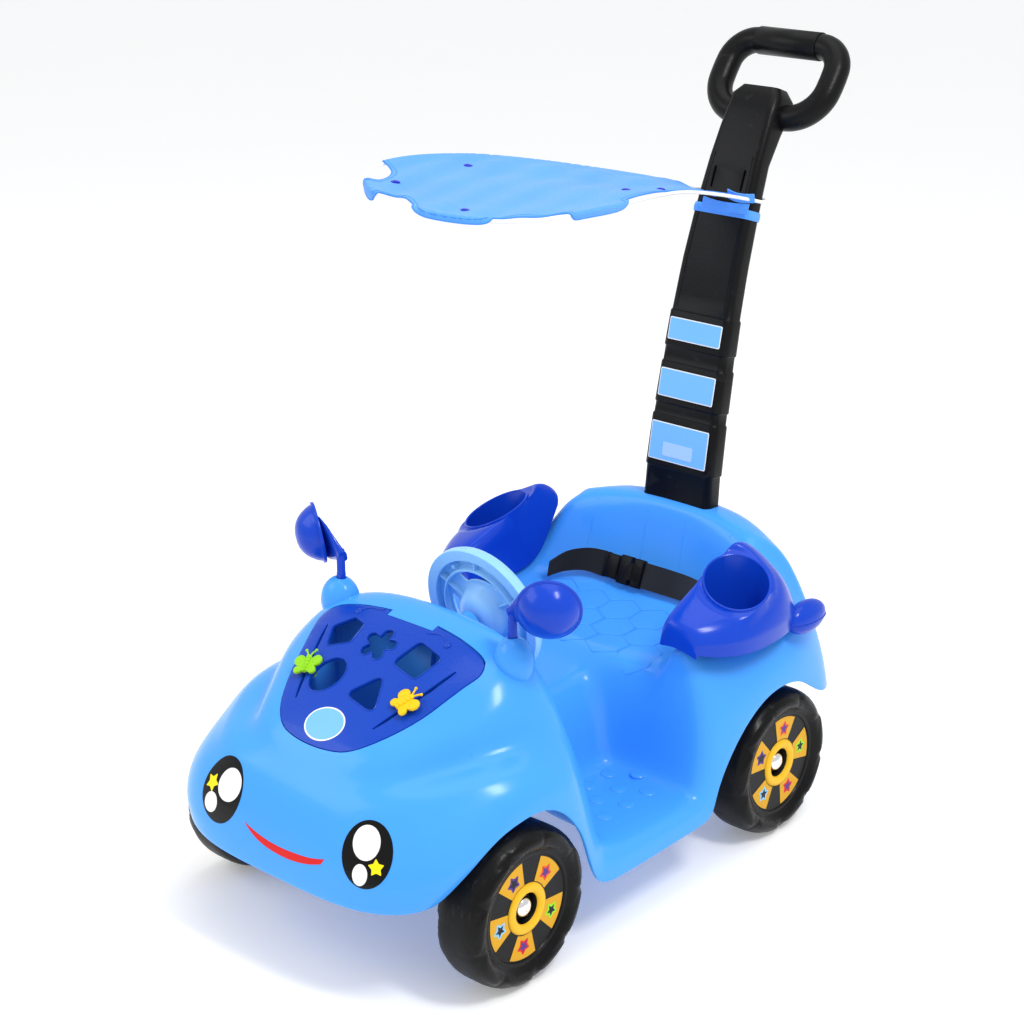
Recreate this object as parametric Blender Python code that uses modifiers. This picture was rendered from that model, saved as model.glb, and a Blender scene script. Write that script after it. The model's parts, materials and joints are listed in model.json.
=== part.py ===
"""Push-along ride-on car for a small child, built as its real separate pieces.

Metres, +Z up, ground at z = 0. The car faces -Y and its left side is +X.
Body points are written with y counted from the front axle, and FRONT_AXLE_Y places that axle in the world.
"""

import math

import bmesh
import bpy
from mathutils import Matrix, Vector
from mathutils.bvhtree import BVHTree

# Driving dimensions
WHEEL_RADIUS = 0.085
WHEEL_TRACK = 0.3702
WHEELBASE = 0.4313
FRONT_AXLE_Y = -0.2760
BODY_WALL = 0.0035
FACES_KEPT = 0.50
THIN_SKINS = ("body_shell", "armrest_left")
AXLE_RADIUS = 0.004
TOUCH_GAP = 0.0003
SHARP_ANGLE = math.radians(35)

# Steering wheel: its open edge circle, and the lean of its axis from the vertical
WHEEL_HUB_Y = 0.1598
WHEEL_HUB_Z = 0.2931
WHEEL_LEAN = math.radians(76.8)

# Sorter lid: a flat plate on the slope of the bonnet
LID_FRONT = (-0.0880, 0.2390)
LID_REAR = (0.0500, 0.3210)
LID_THICKNESS = 0.0035

# Push pole centre line (y, z) and half widths, bottom to top
POLE_LINE = [(0.508, 0.235), (0.508, 0.330), (0.513, 0.390), (0.527, 0.460), (0.541, 0.530),
             (0.559, 0.600), (0.580, 0.665), (0.607, 0.735), (0.628, 0.778)]
POLE_HALF_WIDTHS = [0.0480, 0.0480, 0.0470, 0.0450, 0.0430, 0.0410, 0.0385, 0.0350, 0.0335]
POLE_HALF_DEPTH = 0.0135
POLE_WALL = 0.0025

# Ring handle, in a plane that leans back from the vertical
RING_LEAN = math.radians(35)
RING_TUBE_RADIUS = 0.0150
RING_CENTRE = (0.6655, 0.8005)

# Canopy hoop: half outline in its own plane, as distance forward of the pole and half width
HOOP_RADIUS = 0.0020
HOOP_ORIGIN = (0.5850, 0.6775)
HOOP_HALF_OUTLINE = [(-0.0240, 0.0), (-0.0225, 0.0260), (-0.0100, 0.0440), (0.0100, 0.0465), (0.0500, 0.0450),
                     (0.1250, 0.0510), (0.2100, 0.0800), (0.3000, 0.1080), (0.3850, 0.1210), (0.4470, 0.1050),
                     (0.4870, 0.0560), (0.4970, 0.0)]
HOOP_YAW = math.radians(-6.0)
HOOP_PITCH = math.radians(7.0)
HOOP_TWIST = math.radians(5.5)
HOOP_CROWN = 0.021

# Lid details, as (sideways, up the slope) from the front of the lid's centre line
LID_HALF = [(0.0, -0.0080), (0.0250, -0.0060), (0.0450, 0.0), (0.0620, 0.0140), (0.0780, 0.0370),
            (0.0920, 0.0660), (0.1020, 0.0960), (0.1090, 0.1180), (0.1125, 0.1290), (0.1130, 0.1370),
            (0.1100, 0.1460), (0.1030, 0.1520), (0.0920, 0.1560), (0.0700, 0.1610), (0.0500, 0.1640),
            (0.0330, 0.1660), (0.0330, 0.1586)]
LID_BENDS_ACROSS = [-0.084, -0.042, 0.0, 0.042, 0.084]
LID_BENDS_ALONG = [0.030, 0.085, 0.140]
PENTAGON = [(-0.0694, 0.1011), (-0.0449, 0.1129), (-0.0470, 0.1386), (-0.0640, 0.1430), (-0.0818, 0.1244)]
STAR_CENTRE = (-0.0105, 0.1220)
SQUARE = [(0.0205, 0.1075), (0.0585, 0.0990), (0.0680, 0.1330), (0.0310, 0.1420)]
OVAL_CENTRE = (-0.0400, 0.0690)
TRIANGLE = [(-0.0030, 0.0560), (0.0440, 0.0470), (0.0230, 0.0910)]
SLOT_BOTTOM = (0.0553, 0.0324)
SLOT_TOP = (0.0914, 0.1253)
SLOT_WIDTH = 0.0040
LID_CLEARANCE = 0.0010
BIN_WALL = 0.0025
BIN_FLOOR = 0.1420
BIN_CENTRE_Y = FRONT_AXLE_Y - 0.0150
LEDGE_WIDTH = 0.0040
LEDGE_END = 0.1480
HINGE_RUN = 0.1630
HINGE_DEPTH = 0.0020
HINGE_PIN_RADIUS = 0.0008
HINGE_PIN_LENGTH = 0.0090
HINGE_PIN_PLACE = 0.0325
NOTCH_FRONT = 0.1586
REAR_EASE = 0.0013
RAY_START = 0.0800

BUTTERFLY_REST = 0.42
BUTTERFLY_LIFT = 0.0030
BUTTERFLY_THICKNESS = 0.0050
STEM_LENGTH = 0.0130
STEM_TOP = 0.0050
KEEPER_THICKNESS = 0.0020

# Wheel and axle profiles as (radius, distance outward from the wheel's middle)
WHEEL_SIDES = 20
WHEEL_PROFILE = [(0.0044, 0.0120), (0.0165, 0.0120), (0.0175, 0.0209), (0.0560, 0.0209), (0.0650, 0.0275),
                 (0.0770, 0.0285), (0.0850, 0.0190), (0.0850, -0.0190), (0.0770, -0.0285), (0.0044, -0.0285),
                 (0.0044, -0.0080), (0.0100, -0.0245), (0.0760, -0.0245), (0.0815, -0.0170), (0.0815, 0.0170),
                 (0.0740, 0.0240), (0.0560, 0.0175), (0.0110, 0.0090), (0.0044, -0.0020)]
CAP_PROFILE = [(0.0, 0.0225), (0.0070, 0.0210), (0.0110, 0.0175), (0.0120, 0.0140), (0.0120, 0.0130),
               (0.0046, 0.0130), (0.0046, 0.0195), (0.0, 0.0195)]
SPACER_PROFILE = [(0.0090, -0.0289), (0.0090, -0.0346), (0.0044, -0.0346), (0.0044, -0.0289)]
AXLE_LENGTH = 0.4080
POST_INNER = 0.1342
POST_OUTER = 0.1502
POST_HALF_DEPTH = 0.0090
POST_FOOT = 0.0760

# Steering profiles as (radius, distance toward the driver from the open edge of the wheel)
HAND_WHEEL_PROFILE = [(0.0043, 0.0150), (0.0200, 0.0140), (0.0300, 0.0110), (0.0500, 0.0105),
                      (0.0570, 0.0145),
                      (0.0650, 0.0172), (0.0730, 0.0145), (0.0765, 0.0070), (0.0755, 0.0), (0.0732, 0.0),
                      (0.0735, 0.0095), (0.0650, 0.0142), (0.0560, 0.0100), (0.0530, 0.0), (0.0505, 0.0),
                      (0.0495, 0.0075), (0.0320, 0.0075), (0.0270, -0.0030), (0.0150, -0.0110),
                      (0.0043, -0.0120)]
HUB_CAP_PROFILE = [(0.0, 0.0200), (0.0120, 0.0188), (0.0160, 0.0162), (0.0160, 0.0154), (0.0, 0.0154)]
CRESCENT_ARC = math.radians(82)
CRESCENT_RADII = (0.0365, 0.0475)
SPINDLE_TOP = 0.0120
SPINDLE_FOOT = -0.0690
BOSS_TOP = -0.0160
BOSS_FOOT = -0.0600
BOSS_RADIUS = 0.0130
CLIP_PROFILE = [(0.0090, -0.0603), (0.0090, -0.0660), (0.0046, -0.0660), (0.0046, -0.0603)]

MIRROR_FOOT = (0.1219, 0.0730, 0.3290)
MIRROR_RIM = (0.1630, 0.0800, 0.3670)
MIRROR_FACING = (0.590, -0.800, -0.080)
MIRROR_SEAT_RADII = (0.0220, 0.0205, 0.0270)
MIRROR_SEAT_OUTWARD = 0.0020
MIRROR_SEAT_DROP = 0.0265
SOCKET_RADIUS = 0.0056
SOCKET_DEPTH = 0.0285
OVERCUT = 0.0015
STALK_TOP = 0.0352
STALK_FOOT = -0.0268
STALK_RADII = (0.0047, 0.0042)
NECK_START = 0.0290
NECK_SHARE = 0.62
NECK_RADII = (0.0060, 0.0120)
MIRROR_PROFILE = [(0.0, 0.0250), (0.0120, 0.0235), (0.0220, 0.0180), (0.0300, 0.0090), (0.0335, 0.0020),
                  (0.0355, 0.0010), (0.0355, -0.0020), (0.0325, -0.0025), (0.0315, -0.0005), (0.0, -0.0005)]

CUP_CENTRE = (0.1745, 0.3795, 0.3110)
CUP_LEAN = (0.35, -0.42, 0.83)
CUP_RADIUS = 0.0375
CUP_WALL = 0.0025
CUP_FLOOR = 0.2470
ARMREST_WALL = 0.0030
KNOB_CENTRE = (0.2045, 0.4720, 0.2500)
KNOB_RADII = (0.0150, 0.0330, 0.0190)

POLE_CORNER = 0.0080
POLE_FOOT = 0.2360
POLE_BANDS = [(0.368, 0.425), (0.441, 0.486), (0.506, 0.544)]
BAND_RISE = 0.0015
LABEL_HALF_WIDTHS = [0.0410, 0.0390, 0.0370]
POLE_HEAD = [(0.619, 0.748, 0.0345, 0.0170, 0.0080), (0.631, 0.764, 0.0335, 0.0205, 0.0090),
             (0.641, 0.782, 0.0330, 0.0200, 0.0090), (0.645, 0.793, 0.0250, 0.0130, 0.0080)]
SLIT_Z = 0.6980
SLIT_X = 0.0205
SLIT_SIZE = (0.0030, 0.0080, 0.0220)
LABEL_THICKNESS = 0.0008
LABEL_MARGIN = 0.0060
RING_HALF_WIDTH = 0.0740
RING_HALF_HEIGHT = 0.0460
RING_TOP_CORNER = 0.0310
RING_LOW_CORNER = 0.0420
GRIP_PROFILE = [(0.0167, 0.0420), (0.0167, -0.0420), (0.0158, -0.0420), (0.0158, 0.0420)]

CLOTH_THICKNESS = 0.0016
SNAP_RADIUS = 0.0048
SNAP_THICKNESS = 0.0016
SNAP_LIFT = 0.0030
CLOTH_INSET = 0.0050
CLOTH_COLUMNS = 6
CLOTH_ROWS = [0.0300, 0.0750, 0.1200, 0.1650, 0.2100, 0.2550, 0.3000, 0.3450, 0.3850, 0.4200, 0.4500, 0.4800]
SNAP_SPOTS = [(0.4500, -0.0600), (0.4500, 0.0500), (0.3300, -0.0850), (0.2300, 0.0550), (0.1500, 0.0300)]
STRAP_FOOT = 0.6480
STRAP_HEIGHT = 0.0100

WEBBING_THICKNESS = 0.0016
SOCKET_SIZE = (0.0340, 0.0090, 0.0340)
SOCKET_PLACE = (-0.0180, 0.4405, 0.2540)
TONGUE_SIZE = (0.0220, 0.0070, 0.0300)
TONGUE_PLACE = (-0.0465, 0.4405, 0.2540)
BUCKLE_ROUNDING = 0.0015
BELT_LEFT = [(-0.0003, 0.4345, 0.2400, 0.4465, 0.2680), (0.0500, 0.4340, 0.2405, 0.4450, 0.2685),
             (0.0850, 0.4270, 0.2430, 0.4350, 0.2700), (0.1080, 0.4080, 0.2420, 0.4140, 0.2680)]
BELT_RIGHT = [(-0.0585, 0.4345, 0.2400, 0.4465, 0.2680), (-0.0800, 0.4290, 0.2430, 0.4380, 0.2690),
              (-0.0980, 0.4130, 0.2420, 0.4190, 0.2660), (-0.1080, 0.3950, 0.2380, 0.3990, 0.2560)]

# Colours: (red, green, blue), roughness, metallic
LIGHT_BLUE = ((0.070, 0.360, 0.960), 0.25, 0.0)
ROYAL_BLUE = ((0.012, 0.075, 0.720), 0.25, 0.0)
PALE_BLUE = ((0.180, 0.520, 0.950), 0.30, 0.0)
BLACK_PLASTIC = ((0.010, 0.010, 0.010), 0.40, 0.0)
BLACK_WEBBING = ((0.008, 0.008, 0.008), 0.85, 0.0)
STEEL = ((0.600, 0.600, 0.620), 0.30, 1.0)
CHROME = ((0.800, 0.800, 0.820), 0.12, 1.0)
GREEN = ((0.220, 0.720, 0.030), 0.35, 0.0)
YELLOW = ((0.950, 0.640, 0.010), 0.35, 0.0)
CANOPY_BLUE = ((0.070, 0.300, 0.820), 0.80, 0.0)
WHITE_WIRE = ((0.850, 0.850, 0.850), 0.35, 0.0)
SNAP_BLUE = ((0.010, 0.020, 0.350), 0.35, 0.0)
LABEL_BLUE = ((0.220, 0.560, 0.930), 0.45, 0.0)


# Scene helpers

def clear_scene():
    for item in list(bpy.data.objects):
        bpy.data.objects.remove(item, do_unlink=True)


def new_collection(name):
    collection = bpy.data.collections.new(name)
    bpy.context.scene.collection.children.link(collection)
    return collection


def material(name, look):
    found = bpy.data.materials.get(name)
    if found:
        return found
    made = bpy.data.materials.new(name)
    made.use_nodes = True
    shader = made.node_tree.nodes["Principled BSDF"]
    colour, roughness, metallic = look
    shader.inputs["Base Color"].default_value = (*colour, 1.0)
    shader.inputs["Roughness"].default_value = roughness
    shader.inputs["Metallic"].default_value = metallic
    return made


def add_object(name, data, look=None, place=None):
    """Puts a mesh or curve in the car's collection, or in the cutters' one when it has no look."""
    item = bpy.data.objects.new(name, data)
    if look is None:
        CUTTERS.objects.link(item)
        item.hide_render = True
        item.display_type = "WIRE"
    else:
        PARTS.objects.link(item)
        item.data.materials.append(material(name, look))
    if place is not None:
        item.matrix_world = place
    return item


def mesh_from(bm, name):
    bmesh.ops.recalc_face_normals(bm, faces=bm.faces)
    mesh = bpy.data.meshes.new(name)
    bm.to_mesh(mesh)
    bm.free()
    mesh.shade_smooth()
    mesh.set_sharp_from_angle(angle=SHARP_ANGLE)
    return mesh


def evaluated_mesh(item):
    bpy.context.view_layer.update()
    graph = bpy.context.evaluated_depsgraph_get()
    return bpy.data.meshes.new_from_object(item.evaluated_get(graph))


def as_mesh_object(item, look=None):
    """Turns a curve, or an object with modifiers, into a plain welded mesh object of the same name."""
    mesh = evaluated_mesh(item)
    place = item.matrix_world.copy()
    name = item.name
    bpy.data.objects.remove(item, do_unlink=True)
    bm = bmesh.new()
    bm.from_mesh(mesh)
    bmesh.ops.remove_doubles(bm, verts=bm.verts, dist=0.00001)
    mesh.materials.clear()
    return add_object(name, mesh_from(bm, name), look, place)


def boolean(target, tool, operation):
    step = target.modifiers.new(operation.lower() + "_" + tool.name, "BOOLEAN")
    step.operation = operation
    step.object = tool
    # The exact solver leaves open seams where the ribs and wells meet a thin skin
    step.solver = "MANIFOLD" if target.name in THIN_SKINS else "EXACT"


def cut(target, *tools):
    for tool in tools:
        boolean(target, tool, "DIFFERENCE")


def join(target, *tools):
    for tool in tools:
        boolean(target, tool, "UNION")


def bevel(item, width):
    step = item.modifiers.new("rounded_edges", "BEVEL")
    step.width = width
    step.segments = 2
    step.limit_method = "ANGLE"
    step.angle_limit = math.radians(40)


def centre_on(item, point):
    """Moves an object's origin to a world point and leaves its shape where it is."""
    item.data.transform(Matrix.Translation(-Vector(point)) @ item.matrix_world)
    item.matrix_world = Matrix.Translation(Vector(point))


def at_axle(x, y, z):
    """A point whose y is counted from the front axle, in the world."""
    return Vector((x, y + FRONT_AXLE_Y, z))


# Shape helpers

def box(name, size, centre, look=None, rounding=0.0, turn=None):
    bm = bmesh.new()
    bmesh.ops.create_cube(bm, size=1.0)
    bmesh.ops.scale(bm, vec=Vector(size), verts=bm.verts)
    place = Matrix.Translation(Vector(centre))
    if turn is not None:
        place = place @ turn
    item = add_object(name, mesh_from(bm, name), look, place)
    if rounding:
        bevel(item, rounding)
    return item


def cylinder(name, radius, depth, centre, axis, look=None, sides=24, end_radius=None):
    bm = bmesh.new()
    top = radius if end_radius is None else end_radius
    bmesh.ops.create_cone(bm, cap_ends=True, segments=sides, radius1=radius, radius2=top, depth=depth)
    place = Matrix.Translation(Vector(centre)) @ Vector(axis).to_track_quat("Z", "Y").to_matrix().to_4x4()
    return add_object(name, mesh_from(bm, name), look, place)


def ellipsoid(name, radii, centre, look=None, turn=None, rings=6, sides=12):
    bm = bmesh.new()
    bmesh.ops.create_uvsphere(bm, u_segments=sides, v_segments=rings, radius=1.0)
    bmesh.ops.scale(bm, vec=Vector(radii), verts=bm.verts)
    place = Matrix.Translation(Vector(centre))
    if turn is not None:
        place = place @ turn
    return add_object(name, mesh_from(bm, name), look, place)


def turned(name, profile, look, steps, closed=False):
    """A profile of (radius, height) pairs, listed top to bottom down its outer side, spun about local Z."""
    bm = bmesh.new()
    points = [bm.verts.new((radius, 0.0, height)) for radius, height in profile]
    for first, second in zip(points, points[1:]):
        bm.edges.new((first, second))
    if closed:
        bm.edges.new((points[-1], points[0]))
    mesh = bpy.data.meshes.new(name)
    bm.to_mesh(mesh)
    bm.free()
    item = add_object(name, mesh, look)
    spin = item.modifiers.new("spin", "SCREW")
    spin.steps = steps
    spin.render_steps = steps
    spin.use_merge_vertices = True
    spin.merge_threshold = 0.00001
    return item


def face_along(item, origin, axis):
    turn = Vector(axis).to_track_quat("Z", "Y").to_matrix().to_4x4()
    item.matrix_world = Matrix.Translation(Vector(origin)) @ turn


def outline_plate(name, outlines, thickness, look, place):
    """Flat outlines, filled and given a thickness about their own plane; those inside the first are holes."""
    curve = bpy.data.curves.new(name, "CURVE")
    curve.dimensions = "2D"
    curve.fill_mode = "BOTH"
    curve.extrude = thickness / 2
    for points in outlines:
        spline = curve.splines.new("POLY")
        spline.points.add(len(points) - 1)
        for knot, (u, v) in zip(spline.points, points):
            knot.co = (u, v, 0.0, 1.0)
        spline.use_cyclic_u = True
    holder = bpy.data.objects.new(name, curve)
    bpy.context.scene.collection.objects.link(holder)
    holder.matrix_world = place
    return as_mesh_object(holder, look)


def closed_tube(name, points, radius, look, roundness, spline_kind="POLY"):
    """A closed ring of round bar through points, straight between them or softly curved."""
    curve = bpy.data.curves.new(name, "CURVE")
    curve.dimensions = "3D"
    curve.bevel_depth = radius
    curve.bevel_resolution = roundness
    spline = curve.splines.new(spline_kind)
    if spline_kind == "BEZIER":
        spline.bezier_points.add(len(points) - 1)
        for knot, point in zip(spline.bezier_points, points):
            knot.co = point
            knot.handle_left_type = "AUTO"
            knot.handle_right_type = "AUTO"
        spline.resolution_u = 2
    else:
        spline.points.add(len(points) - 1)
        for knot, point in zip(spline.points, points):
            knot.co = (*point, 1.0)
    spline.use_cyclic_u = True
    holder = bpy.data.objects.new(name, curve)
    bpy.context.scene.collection.objects.link(holder)
    return as_mesh_object(holder, look)


def loft(name, rings, look, endless=False):
    """Skins a row of closed rings with the same number of points, capped at both ends unless endless."""
    bm = bmesh.new()
    rows = [[bm.verts.new(point) for point in ring] for ring in rings]
    following = rows[1:] + rows[:1] if endless else rows[1:]
    for lower, upper in zip(rows, following):
        for index in range(len(lower)):
            after = (index + 1) % len(lower)
            bm.faces.new((lower[index], lower[after], upper[after], upper[index]))
    if not endless:
        bm.faces.new(list(reversed(rows[0])))
        bm.faces.new(rows[-1])
    return add_object(name, mesh_from(bm, name), look)


def open_skin(name, rows, look):
    """An open sheet of four-sided faces through rows of points."""
    bm = bmesh.new()
    grid = [[bm.verts.new(point) for point in row] for row in rows]
    for near, far in zip(grid, grid[1:]):
        for index in range(len(near) - 1):
            bm.faces.new((near[index], near[index + 1], far[index + 1], far[index]))
    mesh = bpy.data.meshes.new(name)
    bm.to_mesh(mesh)
    bm.free()
    mesh.shade_smooth()
    return add_object(name, mesh, look)


def moulded_skin(name, sections, look, thickness, both_halves=False):
    """A soft thin-walled moulding through cross sections that count y from the front axle."""
    item = open_skin(name, [[at_axle(*point) for point in section] for section in sections], look)
    if both_halves:
        half = item.modifiers.new("other_half", "MIRROR")
        half.use_axis = (True, False, False)
        half.merge_threshold = 0.0001
    soft = item.modifiers.new("soft_form", "SUBSURF")
    soft.levels = 1
    soft.render_levels = 1
    lighter = item.modifiers.new("fewer_faces", "DECIMATE")
    lighter.ratio = FACES_KEPT
    lighter.use_symmetry = both_halves
    wall = item.modifiers.new("wall", "SOLIDIFY")
    wall.thickness = thickness
    wall.offset = -1.0
    return item


def mirrored_copy(item, name, look):
    """The same piece for the other side of the car."""
    bm = bmesh.new()
    bm.from_mesh(evaluated_mesh(item))
    bmesh.ops.transform(bm, matrix=Matrix.Scale(-1.0, 4, (1.0, 0.0, 0.0)) @ item.matrix_world, verts=bm.verts)
    bmesh.ops.reverse_faces(bm, faces=bm.faces)
    return add_object(name, mesh_from(bm, name), look)


# Body: cross sections of the left half, each from the centre line out to the lower edge,
# as (x, y from the front axle, z). Together they make the cage of one moulded skin.

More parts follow.
